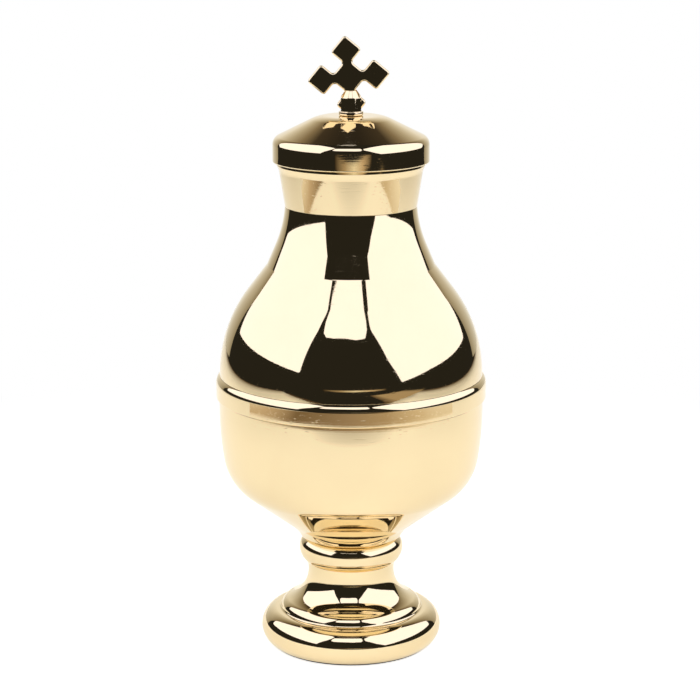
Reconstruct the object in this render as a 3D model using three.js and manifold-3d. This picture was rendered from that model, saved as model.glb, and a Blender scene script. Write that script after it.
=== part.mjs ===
// A holy oil container in gilded brass: a footed bowl and a pear-shaped cover round a glass jar, with a small
// domed lid that carries a cross. Millimetres, +Z up, the front towards -Y. The origin is under the middle of
// the foot.
import * as THREE from "three";
import { mergeVertices } from "three/addons/utils/BufferGeometryUtils.js";
import Module from "manifold-3d";

const wasm = await Module();
wasm.setup();

// Facets round a turned piece, and the widest turns of curved outlines between two points, in degrees
const FACETS = 32;
const SMALL_FACETS = 20;
const PEAR_TURN = 6;
const BOWL_TURN = 7;
const SIDE_TURN = 3;
const INSIDE_TURN = 15;
const FINE_TURN = 18;
const COARSE_TURN = 30;
const EDGE_TURN = 45;

// Limits of the outline helpers: the share of a side that a fillet may take, the least cosine that a mitre is
// stretched by, and how near two points are taken as one on an outline and in a mesh
const FILLET_SHARE = 0.95;
const MITRE_COSINE = 0.3;
const SAME_POINT = 0.01;
const SAME_VERTEX = 1e-4;

// Spun sheet, the gap that a soldered or stacked joint keeps, and the slip between pieces that come apart
const SHEET = 1.2;
const JOINT_GAP = 0.1;
const SOLDER_GAP = 0.15;
const SLIP = 0.3;

// Felt ring and foot
const FELT_THICKNESS = 0.8;
const FELT_INSET = 0.9;
const FELT_WIDTH = 7.5;
const FOOT_RADIUS = 34.15;
const FOOT_ROLL = 7.05;
const FOOT_ROLL_HEIGHT = 6.35;
const FOOT_ROLL_ANGLE = 78;
const FOOT_CREASE = 1;
const LEDGE_RADIUS = 26.8;
const LEDGE_ROLL = 4.3;
const LEDGE_RISE = 6.55;
const LEDGE_ANGLE = 20;
const COVE_RADIUS = 12.1;
const WAIST_RADIUS = 16.35;
const STEM_LENGTH = 3.42;
const STEM_FLARE = 19;
const FOOT_WALL = 2.2;
const FOOT_TOP_THICKNESS = 1.6;
const FOOT_HOLLOW_SIDE = 7.6;
const FOOT_HOLLOW_ROOF = 6.8;
const FOOT_HOLLOW_DISH = 1;

// Knop, the barrel-shaped ring between the foot and the bowl
const KNOP_HEIGHT = 10.4;
const KNOP_RADIUS = 19.7;
const KNOP_MIDDLE = 5.6;
const KNOP_LOWER_CURVE = 7;
const KNOP_UPPER_CURVE = 5;

// Bowl
const BOWL_RADIUS = 49.4;
const BOWL_FOOT_RADIUS = 19.3;
const BOWL_CORNER_RUN = 1.65;
const BOWL_CORNER_RISE = 2.9;
const BOWL_FOOT_FILLET = 15;
const BOWL_BELLY_CURVE = 20;
const BOWL_SIDE_CURVE = 120;
const BOWL_SIDE_LEAN = 9;
const BOWL_WALL_HEIGHT = 5.2;
const BOWL_HEIGHT = 54.2;

// Bezel that stands up inside the seam, and the round-shouldered band round the cover's rim
const BEZEL_THICKNESS = 1.5;
const BEZEL_DEPTH = 6.4;
const BEZEL_RISE = 6.9;
const RIM_RING_PROUD = 1.4;
const RIM_RING_WALL = 5.4;
const RIM_RING_SHOULDER = 3.4;
const RIM_RING_EDGE = 0.4;
const RIM_RING_SHELF = 1.1;

// Pear-shaped cover and its neck
const COVER_INSET = 0.3;
const COVER_CURVE = 52.7;
const NECK_CURVE = 49;
const NECK_RADIUS = 24.1;
const NECK_RISE = 76.8;
const NECK_CREASE_TURN = 6;
const NECK_CREASE = 1.2;
const COLLAR_LEAN = 7.5;
const COLLAR_LENGTH = 8.9;
const COLLAR_FLARE_CURVE = 9;
const COLLAR_FLARE_TURN = 33;
const MOUTH_FLARE = 3.2;
const MOUTH_FILLET = 2;
const MOUTH_RISE = 13.2;
const NECK_RING_HEIGHT = 3.2;
const NECK_RING_WIDTH = 4.65;

// Lid
const LID_OVERLAP = 2;
const LID_SKIRT = 8.5;
const LID_SHOULDER_CURVE = 3.5;
const LID_SLOPE = 26.5;
const LID_CROWN_RADIUS = 12;
const LID_CROWN_CURVE = 14;
const LID_PLATE = 1.2;
const SLEEVE_THICKNESS = 1;
const SLEEVE_LENGTH = 9;
const SEAL_THICKNESS = 1.2;
const SEAL_WIDTH = 5.6;

// Finial: the post, its stud and what holds it
const POST_RADIUS = 4.1;
const POST_HEIGHT = 5.1;
const POST_CROWN = 2.6;
const POST_CROWN_RADIUS = 2.6;
const POST_FLANGE_RADIUS = 4.5;
const POST_FLANGE_HEIGHT = 1.4;
const POST_EDGE = 0.3;
const STUD_RADIUS = 2;
const STUD_HOLE = 2.2;
const STUD_SPARE = 1;
const SPACER_RADIUS = 4;
const STUD_NUT_FLATS = 7;
const STUD_NUT_HEIGHT = 3.2;
const STUD_WASHER_RADIUS = 5;
const WASHER_THICKNESS = 0.8;

// Cross: a square stood on its corner, with a round-cornered notch in the middle of each side
const CROSS_SIDE = 21.6;
const CROSS_THICKNESS = 3;
const CROSS_NOTCH_WIDTH = 5.6;
const CROSS_NOTCH_DEPTH = 6;
const CROSS_NOTCH_FILLET = 1.4;
const CROSS_CORNER = 1.2;
const CROSS_EDGE_ROUND = 0.7;
const CROSS_CENTRE_RISE = 13.9;
const CROSS_PIVOT_RISE = 5.4;
const CROSS_LEAN = 5.8;

// Glass jar and the cork ring that it stands on
const GLASS = 2.6;
const JAR_SIDE_CLEARANCE = 1.6;
const JAR_BASE_RADIUS = 30;
const JAR_BASE_FILLET = 9;
const JAR_LOWER_SIDE = 22;
const JAR_LOWER_FILLET = 26;
const JAR_SHOULDER_RISE = 13.6;
const JAR_SHOULDER_FILLET = 30;
const JAR_NECK_LENGTH = 26.4;
const JAR_NECK_FILLET = 18;
const JAR_NECK_CLEARANCE = 0.8;
const CORK_WIDTH = 13;
const CORK_EDGE = 4.31;
const CORK_FLOOR_GAP = 3;

// Tie bolt through the foot, the knop and the bowl
const BOLT_RADIUS = 3;
const BOLT_HOLE = 3.3;
const BOLT_HEAD_RADIUS = 6;
const BOLT_HEAD_HEIGHT = 3;
const BOLT_HEAD_FILLET = 1.5;
const BOLT_SPARE = 2;
const BOLT_WASHER_RADIUS = 9;
const BOLT_NUT_FLATS = 10;
const BOLT_NUT_HEIGHT = 5;
const SPREADER_RADIUS = 12;
const SPREADER_THICKNESS = 1.5;

// The foot's ledge runs on, tangent, into the cove, so the waist's height follows from their two arcs.
const ledgeHeight = FOOT_ROLL_HEIGHT + LEDGE_RISE;
const coveReach = WAIST_RADIUS + COVE_RADIUS - (LEDGE_RADIUS - LEDGE_ROLL);
const waistHeight = ledgeHeight + Math.sqrt((COVE_RADIUS + LEDGE_ROLL) ** 2 - coveReach ** 2);

// Heights at which the stacked pieces meet, from the foot up
const footTop = waistHeight + STEM_LENGTH;
const knopBottom = footTop + JOINT_GAP;
const knopTop = knopBottom + KNOP_HEIGHT;
const bowlBottom = knopTop + JOINT_GAP;
const bowlFloor = bowlBottom + SHEET;
const seamHeight = bowlBottom + BOWL_HEIGHT;
const bezelTop = seamHeight + BEZEL_RISE;
const neckHeight = seamHeight + NECK_RISE;
const mouthHeight = neckHeight + MOUTH_RISE;

// The bowl's cone leaves the corner over its foot and touches the belly's arc. The jar stands on a cork ring
// that is wedged on the cone.
const bowlCorner = point(BOWL_FOOT_RADIUS + BOWL_CORNER_RUN, bowlBottom + BOWL_CORNER_RISE);
const bowlSlope = slopeTo(bellyCentre(), BOWL_BELLY_CURVE, bowlCorner);
const corkTop = bowlInside(JAR_BASE_RADIUS) + CORK_EDGE;
const jarBottom = corkTop + JOINT_GAP;

// The cover's wall starts a little inside the bowl's, and the band stands out from it. The band's shoulder
// swings in until it meets the wall.
const coverRadius = BOWL_RADIUS - COVER_INSET;
const rimRingRadius = coverRadius + RIM_RING_PROUD;
const shoulderReach = RIM_RING_SHOULDER - RIM_RING_PROUD;
const shoulderSwing = THREE.MathUtils.radToDeg(Math.acos(shoulderReach / RIM_RING_SHOULDER));
const rimRingWallTop = seamHeight + RIM_RING_WALL;
const rimRingTop = rimRingWallTop + RIM_RING_SHOULDER * Math.sin(radians(shoulderSwing));
const coverBottom = rimRingTop + JOINT_GAP;
const plateBottom = mouthHeight + JOINT_GAP;
const plateTop = plateBottom + LID_PLATE;
const sealBottom = plateBottom - JOINT_GAP - SEAL_THICKNESS;
const jarTop = sealBottom - JOINT_GAP;

// Radii that follow from a neighbour's
const bezelRadius = BOWL_RADIUS - SHEET - SOLDER_GAP;
const bezelInside = bezelRadius - BEZEL_THICKNESS;
const mouthRadius = NECK_RADIUS + MOUTH_FLARE;
const mouthInside = mouthRadius - SHEET;
const neckBore = mouthInside - SOLDER_GAP - NECK_RING_WIDTH;
const skirtInside = mouthRadius + SLIP;
const skirtRadius = skirtInside + SHEET;
const sleeveRadius = neckBore - SLIP;
const sleeveInside = sleeveRadius - SLEEVE_THICKNESS;
const jarNeckRadius = sleeveInside - JAR_NECK_CLEARANCE;
const jarRadius = bezelInside - JAR_SIDE_CLEARANCE;

// The lid's slope runs down from the crown to the shoulder, so its height follows from the two radii.
const skirtBottom = mouthHeight - LID_OVERLAP;
const lidRise = (skirtRadius - LID_CROWN_RADIUS) * tangent(LID_SLOPE);
const crownHeight = skirtBottom + LID_SKIRT + lidRise;
const flangeBottom = crownHeight + JOINT_GAP;
const flangeTop = flangeBottom + POST_FLANGE_HEIGHT;
const postShoulder = flangeTop + POST_HEIGHT;

function radians(degrees) {
  return THREE.MathUtils.degToRad(degrees);
}

function tangent(degrees) {
  return Math.tan(radians(degrees));
}

function point(r, z) {
  return new THREE.Vector2(r, z);
}

// Points of an arc in the (radius, height) plane, both ends included
function arc(centre, radius, from, to, turn) {
  const steps = Math.max(1, Math.ceil(Math.abs(to - from) / turn));
  return Array.from({ length: steps + 1 }, (_, i) => {
    const angle = radians(from + ((to - from) * i) / steps);
    return point(centre.x + radius * Math.cos(angle), centre.y + radius * Math.sin(angle));
  });
}

// The arc that rounds the corner at b between a and c, with its radius limited by the shorter side
function rounded(a, b, c, radius, turn) {
  const before = a.clone().sub(b);
  const after = c.clone().sub(b);
  const half = Math.acos(before.dot(after) / before.length() / after.length()) / 2;
  const longest = Math.min(before.length(), after.length()) * FILLET_SHARE;
  const reach = Math.min(radius / Math.tan(half), longest);
  const fitted = reach * Math.tan(half);
  const middle = before.clone().normalize().add(after.clone().normalize()).normalize();
  const centre = b.clone().addScaledVector(middle, fitted / Math.sin(half));
  const start = b.clone().addScaledVector(before.normalize(), reach).sub(centre);
  const end = b.clone().addScaledVector(after.normalize(), reach).sub(centre);
  const from = THREE.MathUtils.radToDeg(start.angle());
  const swing = THREE.MathUtils.radToDeg(Math.atan2(start.cross(end), start.dot(end)));
  return arc(centre, fitted, from, from + swing, turn);
}

// A path through corners of the form [radius, height, fillet], with each fillet drawn as an arc
function cornered(corners, turn) {
  const places = corners.map(([r, z]) => point(r, z));
  return corners.flatMap(([, , fillet], i) =>
    fillet ? rounded(places[i - 1], places[i], places[i + 1], fillet, turn) : [places[i]],
  );
}

// The path moved sideways by a distance, to the left of its direction of travel, with mitred corners
function offset(path, distance) {
  return path.map((place, i) => {
    const back = path[Math.max(i - 1, 0)];
    const front = path[Math.min(i + 1, path.length - 1)];
    const arriving = (i ? place.clone().sub(back) : front.clone().sub(place)).normalize();
    const leaving = (i < path.length - 1 ? front.clone().sub(place) : place.clone().sub(back)).normalize();
    const side = point(-arriving.y - leaving.y, arriving.x + leaving.x).normalize();
    const stretch = 1 / Math.max(side.dot(point(-arriving.y, arriving.x)), MITRE_COSINE);
    return place.clone().addScaledVector(side, distance * stretch);
  });
}

// A closed outline turned round the Z axis
function turned(outline, facets = FACETS) {
  const places = outline.filter((p, i) => p.distanceTo(outline[(i + 1) % outline.length]) > SAME_POINT);
  if (THREE.ShapeUtils.area(places) < 0) places.reverse();
  places.push(places[0].clone());
  return new THREE.LatheGeometry(places, facets).rotateX(Math.PI / 2);
}

// A spun shell: the sheet lies to the left of the outer path, which is drawn at two finenesses. Where the
// wall comes to an end upright, its edge is cut level.
function spun(pathAt, turn) {
  const outside = pathAt(turn);
  const inside = offset(pathAt(INSIDE_TURN), SHEET);
  for (const end of [0, -1]) {
    const wall = inside.at(end);
    const edge = outside.at(end);
    if (Math.abs(wall.x - edge.x) > Math.abs(wall.y - edge.y)) wall.y = edge.y;
  }
  return turned([...outside, ...inside.reverse()]);
}

function ring(inside, outside, bottom, top, facets = FACETS) {
  const corners = [point(inside, bottom), point(outside, bottom), point(outside, top), point(inside, top)];
  return turned(corners, facets);
}

function hexNut(flats, bore, bottom, height) {
  const outline = new THREE.Shape(
    Array.from({ length: 6 }, (_, i) => {
      const angle = radians(60 * i);
      const corner = flats / 2 / Math.cos(radians(30));
      return point(corner * Math.cos(angle), corner * Math.sin(angle));
    }),
  );
  outline.holes.push(new THREE.Path().absarc(0, 0, bore, 0, 2 * Math.PI, true));
  const settings = { depth: height, bevelEnabled: false, curveSegments: SMALL_FACETS / 2 };
  return new THREE.ExtrudeGeometry(outline, settings).translate(0, 0, bottom);
}

function solidOf(geometry) {
  const bare = geometry.clone();
  bare.deleteAttribute("normal");
  bare.deleteAttribute("uv");
  const merged = mergeVertices(bare, SAME_VERTEX);
  return new wasm.Manifold(
    new wasm.Mesh({
      numProp: 3,
      vertProperties: merged.attributes.position.array,
      triVerts: new Uint32Array(merged.index.array),
    }),
  );
}

function geometryOf(solid) {
  const mesh = solid.getMesh();
  return new THREE.BufferGeometry()
    .setAttribute("position", new THREE.BufferAttribute(mesh.vertProperties, 3))
    .setIndex(new THREE.BufferAttribute(mesh.triVerts, 1));
}

// A point on the foot's rolled edge, at the height where the felt begins
function footRimRadius() {
  const drop = FOOT_ROLL_HEIGHT - FELT_THICKNESS;
  return FOOT_RADIUS - FOOT_ROLL + Math.sqrt(Math.max(FOOT_ROLL ** 2 - drop ** 2, 0));
}

function feltRing() {
  const outside = footRimRadius() - FELT_INSET;
  return ring(outside - FELT_WIDTH, outside, 0, FELT_THICKNESS - JOINT_GAP / 2);
}

// The foot from its felt up: a wide roll, a crease, a rounded ledge, a cove and a short stem that flares out
function foot() {
  const roll = point(FOOT_RADIUS - FOOT_ROLL, FOOT_ROLL_HEIGHT);
  const crease = point(LEDGE_RADIUS, FOOT_ROLL_HEIGHT + FOOT_ROLL);
  const ledge = point(LEDGE_RADIUS - LEDGE_ROLL, ledgeHeight);
  const cove = point(WAIST_RADIUS + COVE_RADIUS, waistHeight);
  const flare = point(WAIST_RADIUS + STEM_FLARE, waistHeight);
  const start = THREE.MathUtils.radToDeg(Math.asin((FELT_THICKNESS - roll.y) / FOOT_ROLL));
  const meeting = THREE.MathUtils.radToDeg(cove.clone().sub(ledge).angle());
  const flareEnd = THREE.MathUtils.radToDeg(Math.asin(STEM_LENGTH / STEM_FLARE));
  const rollArc = arc(roll, FOOT_ROLL, start, FOOT_ROLL_ANGLE, FINE_TURN);
  const ledgeArc = arc(ledge, LEDGE_ROLL, LEDGE_ANGLE, meeting, FINE_TURN);
  const outside = [
    ...rollArc,
    ...rounded(rollArc.at(-1), crease, ledgeArc[0], FOOT_CREASE, COARSE_TURN),
    ...ledgeArc,
    ...arc(cove, COVE_RADIUS, 180 + meeting, 180, INSIDE_TURN).slice(1),
    ...arc(flare, STEM_FLARE, 180, 180 - flareEnd, PEAR_TURN).slice(1),
  ];
  const inner = WAIST_RADIUS - FOOT_WALL;
  const roof = footTop - FOOT_TOP_THICKNESS;
  const dish = ledgeHeight + LEDGE_ROLL - FOOT_WALL;
  const hollow = [
    point(BOLT_HOLE, footTop),
    point(BOLT_HOLE, roof),
    point(inner, roof),
    point(inner, dish + FOOT_HOLLOW_DISH),
    point(inner + FOOT_HOLLOW_ROOF, dish),
    point(FOOT_RADIUS - FOOT_HOLLOW_SIDE, FOOT_ROLL_HEIGHT),
    point(FOOT_RADIUS - FOOT_HOLLOW_SIDE, FELT_THICKNESS),
  ];
  return turned([...outside, ...hollow]);
}

function knop() {
  const widest = knopBottom + KNOP_MIDDLE;
  const lower = point(KNOP_RADIUS - KNOP_LOWER_CURVE, widest);
  const upper = point(KNOP_RADIUS - KNOP_UPPER_CURVE, widest);
  const low = -THREE.MathUtils.radToDeg(Math.asin(KNOP_MIDDLE / KNOP_LOWER_CURVE));
  const high = THREE.MathUtils.radToDeg(Math.asin((KNOP_HEIGHT - KNOP_MIDDLE) / KNOP_UPPER_CURVE));
  return turned([
    point(BOLT_HOLE, knopBottom),
    ...arc(lower, KNOP_LOWER_CURVE, low, 0, FINE_TURN),
    ...arc(upper, KNOP_UPPER_CURVE, 0, high, FINE_TURN).slice(1),
    point(BOLT_HOLE, knopTop),
  ]);
}

// Centre of the belly's tight arc, which runs on into the wide arc of the bowl's side
function bellyCentre() {
  const apart = BOWL_SIDE_CURVE - BOWL_BELLY_CURVE;
  const lean = radians(BOWL_SIDE_LEAN);
  const wallBottom = seamHeight - BOWL_WALL_HEIGHT;
  return point(BOWL_RADIUS - BOWL_SIDE_CURVE + apart * Math.cos(lean), wallBottom - apart * Math.sin(lean));
}

// Angle of the line that leaves a point and touches a circle from below
function slopeTo(centre, radius, start) {
  const between = centre.clone().sub(start);
  return THREE.MathUtils.radToDeg(between.angle() - Math.asin(Math.min(radius / between.length(), 1)));
}

// Height of the cone's inside at a radius, a solder gap above the sheet
function bowlInside(r) {
  const above = (SHEET + SOLDER_GAP) / Math.cos(radians(bowlSlope));
  return bowlCorner.y + (r - bowlCorner.x) * tangent(bowlSlope) + above;
}

// The bowl from the bolt hole outwards and up: a flat foot, a cone, a tight belly and a side that leans out
function bowlPath(turn) {
  const side = point(BOWL_RADIUS - BOWL_SIDE_CURVE, seamHeight - BOWL_WALL_HEIGHT);
  const sideArc = arc(side, BOWL_SIDE_CURVE, -BOWL_SIDE_LEAN, 0, Math.min(turn, SIDE_TURN));
  const bellyArc = arc(bellyCentre(), BOWL_BELLY_CURVE, bowlSlope - 90, -BOWL_SIDE_LEAN, turn);
  const footEdge = point(BOWL_FOOT_RADIUS, bowlBottom);
  return [
    point(BOLT_HOLE, bowlBottom),
    footEdge,
    ...rounded(footEdge, bowlCorner, bellyArc[0], BOWL_FOOT_FILLET, FINE_TURN),
    ...bellyArc,
    ...sideArc.slice(1),
    point(BOWL_RADIUS, seamHeight - JOINT_GAP),
  ];
}

function bezel() {
  return ring(bezelInside, bezelRadius, seamHeight - BEZEL_DEPTH, bezelTop);
}

// Band round the cover's rim. It slips over the bezel and rests on it by an inner shelf.
function rimRing() {
  const edge = point(rimRingRadius - RIM_RING_EDGE, seamHeight + RIM_RING_EDGE);
  const shoulder = point(rimRingRadius - RIM_RING_SHOULDER, rimRingWallTop);
  const bore = bezelRadius + SLIP;
  const shelf = bezelTop + JOINT_GAP;
  return turned([
    ...arc(edge, RIM_RING_EDGE, -90, 0, EDGE_TURN),
    ...arc(shoulder, RIM_RING_SHOULDER, 0, shoulderSwing, FINE_TURN),
    point(bore - RIM_RING_SHELF, rimRingTop),
    point(bore - RIM_RING_SHELF, shelf),
    point(bore, shelf),
    point(bore, seamHeight),
  ]);
}

// Angle at which a line leaves a convex arc and runs on, tangent, into a concave one
function crossTangent(convex, convexRadius, concave, concaveRadius) {
  const between = concave.clone().sub(convex);
  const share = Math.min((convexRadius + concaveRadius) / between.length(), 1);
  return THREE.MathUtils.radToDeg(between.angle() - Math.acos(share));
}

// The pear from its rim to its mouth: a convex belly, a concave neck, a crease, and a collar that leans out,
// flares and ends in an upright lip
function coverPath(turn) {
  const belly = point(coverRadius - COVER_CURVE, coverBottom);
  const neck = point(NECK_RADIUS + NECK_CURVE, neckHeight);
  const slope = crossTangent(belly, COVER_CURVE, neck, NECK_CURVE);
  const neckArc = arc(neck, NECK_CURVE, 180 + slope, 180 + NECK_CREASE_TURN, turn);
  const crease = neckArc.pop();
  const collarTop = crease.clone().add(point(tangent(COLLAR_LEAN), 1).multiplyScalar(COLLAR_LENGTH));
  const outwards = point(Math.cos(radians(COLLAR_LEAN)), -Math.sin(radians(COLLAR_LEAN)));
  const flare = collarTop.clone().addScaledVector(outwards, COLLAR_FLARE_CURVE);
  const flareArc = arc(flare, COLLAR_FLARE_CURVE, 180 - COLLAR_LEAN, 180 - COLLAR_FLARE_TURN, turn);
  const flareEnd = flareArc.at(-1);
  const cornerHeight = flareEnd.y + (mouthRadius - flareEnd.x) / tangent(COLLAR_FLARE_TURN);
  const corner = point(mouthRadius, cornerHeight);
  const lip = point(mouthRadius, mouthHeight);
  return [
    ...arc(belly, COVER_CURVE, 0, slope, turn),
    ...neckArc,
    ...rounded(neckArc.at(-1), crease, collarTop, NECK_CREASE, COARSE_TURN),
    ...flareArc,
    ...rounded(flareEnd, corner, lip, MOUTH_FILLET, FINE_TURN),
    lip,
  ];
}

function neckRing() {
  return ring(neckBore, neckBore + NECK_RING_WIDTH, mouthHeight - NECK_RING_HEIGHT, mouthHeight);
}

function lidPath(turn) {
  return cornered(
    [
      [skirtRadius, skirtBottom],
      [skirtRadius, skirtBottom + LID_SKIRT, LID_SHOULDER_CURVE],
      [LID_CROWN_RADIUS, crownHeight, LID_CROWN_CURVE],
      [STUD_HOLE, crownHeight],
    ],
    turn,
  );
}

// The lid's inner plate, which rests on the mouth, with the sleeve that guides it in the neck
function lidPlate() {
  const edge = skirtInside - SOLDER_GAP;
  return turned([
    point(STUD_HOLE, plateTop),
    point(edge, plateTop),
    point(edge, plateBottom),
    point(sleeveRadius, plateBottom),
    point(sleeveRadius, plateBottom - SLEEVE_LENGTH),
    point(sleeveInside, plateBottom - SLEEVE_LENGTH),
    point(sleeveInside, plateBottom),
    point(STUD_HOLE, plateBottom),
  ]);
}

function lidSeal() {
  const outside = sleeveInside - JOINT_GAP;
  return ring(outside - SEAL_WIDTH, outside, sealBottom, plateBottom - JOINT_GAP);
}

function lidSpacer() {
  const top = crownHeight - SHEET - JOINT_GAP;
  return ring(STUD_HOLE, SPACER_RADIUS, plateTop + JOINT_GAP, top, SMALL_FACETS);
}

const studWasherTop = plateBottom - JOINT_GAP;
const studNutTop = studWasherTop - WASHER_THICKNESS - JOINT_GAP;

function studWasher() {
  const bottom = studWasherTop - WASHER_THICKNESS;
  return ring(STUD_HOLE, STUD_WASHER_RADIUS, bottom, studWasherTop, SMALL_FACETS);
}

function studNut() {
  return hexNut(STUD_NUT_FLATS, STUD_HOLE, studNutTop - STUD_NUT_HEIGHT, STUD_NUT_HEIGHT);
}

// The post with its flange and stud in one piece, slotted across for the cross
function finialPost() {
  const studEnd = studNutTop - STUD_NUT_HEIGHT - STUD_SPARE;
  const body = turned(
    [
      point(0, studEnd),
      point(STUD_RADIUS, studEnd),
      point(STUD_RADIUS, flangeBottom),
      point(POST_FLANGE_RADIUS - POST_EDGE, flangeBottom),
      point(POST_FLANGE_RADIUS, flangeBottom + POST_EDGE),
      point(POST_FLANGE_RADIUS, flangeTop - POST_EDGE),
      point(POST_FLANGE_RADIUS - POST_EDGE, flangeTop),
      point(POST_RADIUS, flangeTop),
      point(POST_RADIUS, postShoulder),
      point(POST_CROWN_RADIUS, postShoulder + POST_CROWN),
      point(0, postShoulder + POST_CROWN),
    ],
    SMALL_FACETS,
  );
  const slotWidth = CROSS_THICKNESS + 2 * SLIP;
  const slotHeight = POST_HEIGHT + 2 * POST_CROWN;
  const slot = new THREE.BoxGeometry(4 * POST_RADIUS, slotWidth, slotHeight);
  slot.translate(0, 0, flangeTop + slotHeight / 2);
  return geometryOf(solidOf(body).subtract(solidOf(slot)));
}

// One side of the cross's square, from its start corner to the next, in the square's own frame
function crossSide() {
  const half = CROSS_SIDE / 2;
  const lip = CROSS_NOTCH_WIDTH / 2;
  const floor = half - CROSS_NOTCH_DEPTH;
  const middle = (half + lip) / 2;
  return cornered(
    [
      [half, -middle],
      [half, -lip, CROSS_CORNER],
      [floor, -lip, CROSS_NOTCH_FILLET],
      [floor, lip, CROSS_NOTCH_FILLET],
      [half, lip, CROSS_CORNER],
      [half, half, CROSS_CORNER],
      [middle, half],
    ],
    COARSE_TURN,
  ).slice(1, -1);
}

// The plate stands in the XZ plane, leans a little to the left as the front sees it, and is cut flat at its
// foot.
function cross() {
  const quarter = Math.PI / 2;
  const outline = [0, 1, 2, 3].flatMap((turn) =>
    crossSide().map((place) => place.rotateAround(point(0, 0), turn * quarter)),
  );
  const plate = new THREE.ExtrudeGeometry(new THREE.Shape(outline), {
    depth: CROSS_THICKNESS - 2 * CROSS_EDGE_ROUND,
    bevelThickness: CROSS_EDGE_ROUND,
    bevelSize: CROSS_EDGE_ROUND,
    bevelOffset: -CROSS_EDGE_ROUND,
    bevelSegments: 2,
  });
  const pivot = flangeBottom + CROSS_PIVOT_RISE;
  plate.translate(0, 0, CROSS_EDGE_ROUND - CROSS_THICKNESS / 2);
  plate.rotateZ(quarter / 2).rotateX(quarter);
  plate.translate(0, 0, CROSS_CENTRE_RISE - CROSS_PIVOT_RISE);
  plate.rotateY(-radians(CROSS_LEAN)).translate(0, 0, pivot);
  const cutHeight = 2 * CROSS_SIDE;
  const below = new THREE.BoxGeometry(cutHeight, cutHeight, cutHeight);
  below.translate(0, 0, flangeTop + SLIP - cutHeight / 2);
  return geometryOf(solidOf(plate).subtract(solidOf(below)));
}

// The jar from the middle of its base to its rim. The glass lies to the left of this path.
function jarPath(turn) {
  return cornered(
    [
      [0, jarBottom],
      [JAR_BASE_RADIUS, jarBottom, JAR_BASE_FILLET],
      [jarRadius, jarBottom + JAR_LOWER_SIDE, JAR_LOWER_FILLET],
      [jarRadius, seamHeight + JAR_SHOULDER_RISE, JAR_SHOULDER_FILLET],
      [jarNeckRadius, mouthHeight - JAR_NECK_LENGTH, JAR_NECK_FILLET],
      [jarNeckRadius, jarTop],
    ],
    turn,
  );
}

function jar() {
  const inside = offset(jarPath(FINE_TURN), GLASS);
  inside[0].x = 0;
  return turned([...jarPath(INSIDE_TURN), ...inside.reverse()]);
}

// Cork ring wedged between the bowl's sloping inside and the jar's flat base
function corkRing() {
  const inside = JAR_BASE_RADIUS - CORK_WIDTH;
  const coneStart = Math.max(inside, BOWL_FOOT_RADIUS + SHEET);
  return turned([
    point(inside, corkTop),
    point(inside, Math.max(bowlInside(coneStart), bowlFloor + CORK_FLOOR_GAP)),
    point(JAR_BASE_RADIUS, bowlInside(JAR_BASE_RADIUS)),
    point(JAR_BASE_RADIUS, corkTop),
  ]);
}

const boltWasherTop = bowlFloor + JOINT_GAP + WASHER_THICKNESS;
const spreaderTop = footTop - FOOT_TOP_THICKNESS - JOINT_GAP;
const boltNutTop = spreaderTop - SPREADER_THICKNESS - JOINT_GAP;

function boltWasher() {
  return ring(BOLT_HOLE, BOLT_WASHER_RADIUS, bowlFloor + JOINT_GAP, boltWasherTop, SMALL_FACETS);
}

function tieBolt() {
  const seat = boltWasherTop + JOINT_GAP;
  const end = boltNutTop - BOLT_NUT_HEIGHT - BOLT_SPARE;
  return turned(
    [
      point(0, end),
      point(BOLT_RADIUS, end),
      point(BOLT_RADIUS, seat),
      ...cornered(
        [
          [BOLT_HEAD_RADIUS, seat],
          [BOLT_HEAD_RADIUS, seat + BOLT_HEAD_HEIGHT, BOLT_HEAD_FILLET],
          [0, seat + BOLT_HEAD_HEIGHT],
        ],
        COARSE_TURN,
      ),
    ],
    SMALL_FACETS,
  );
}

function footSpreader() {
  return ring(BOLT_HOLE, SPREADER_RADIUS, spreaderTop - SPREADER_THICKNESS, spreaderTop);
}

function footNut() {
  return hexNut(BOLT_NUT_FLATS, BOLT_HOLE, boltNutTop - BOLT_NUT_HEIGHT, BOLT_NUT_HEIGHT);
}

const finishes = {
  gilt: { color: 0xe8c684, roughness: 0.06, metalness: 1 },
  steel: { color: 0xb9bbbd, roughness: 0.35, metalness: 1 },
  glass: { color: 0xe4efec, roughness: 0.03, metalness: 0 },
  silicone: { color: 0xe6e4dc, roughness: 0.6, metalness: 0 },
  cork: { color: 0xb98b5a, roughness: 0.9, metalness: 0 },
  felt: { color: 0x22201f, roughness: 1, metalness: 0 },
};

const model = new THREE.Group();

function add(name, geometry, finish) {
  const mesh = new THREE.Mesh(geometry, new THREE.MeshStandardMaterial(finishes[finish]));
  mesh.name = name;
  model.add(mesh);
}

add("felt_ring", feltRing(), "felt");
add("foot", foot(), "gilt");
add("foot_spreader", footSpreader(), "steel");
add("foot_nut", footNut(), "steel");
add("tie_bolt", tieBolt(), "steel");
add("knop", knop(), "gilt");
add("bowl", spun(bowlPath, BOWL_TURN), "gilt");
add("bolt_washer", boltWasher(), "steel");
add("bowl_bezel", bezel(), "gilt");
add("cork_ring", corkRing(), "cork");
add("oil_jar", jar(), "glass");
add("rim_ring", rimRing(), "gilt");
add("cover", spun(coverPath, PEAR_TURN), "gilt");
add("neck_ring", neckRing(), "gilt");
add("lid", spun(lidPath, FINE_TURN), "gilt");
add("lid_plate", lidPlate(), "gilt");
add("lid_seal", lidSeal(), "silicone");
add("lid_spacer", lidSpacer(), "gilt");
add("stud_washer", studWasher(), "steel");
add("stud_nut", studNut(), "steel");
add("finial_post", finialPost(), "gilt");
add("cross", cross(), "gilt");

export default model;
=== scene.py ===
"""Looks of the holy oil container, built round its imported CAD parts: finely turned pieces in gilding, steel,
glass, cork, felt and silicone, on a white table between two large soft lights in a dark room."""

import math

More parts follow.
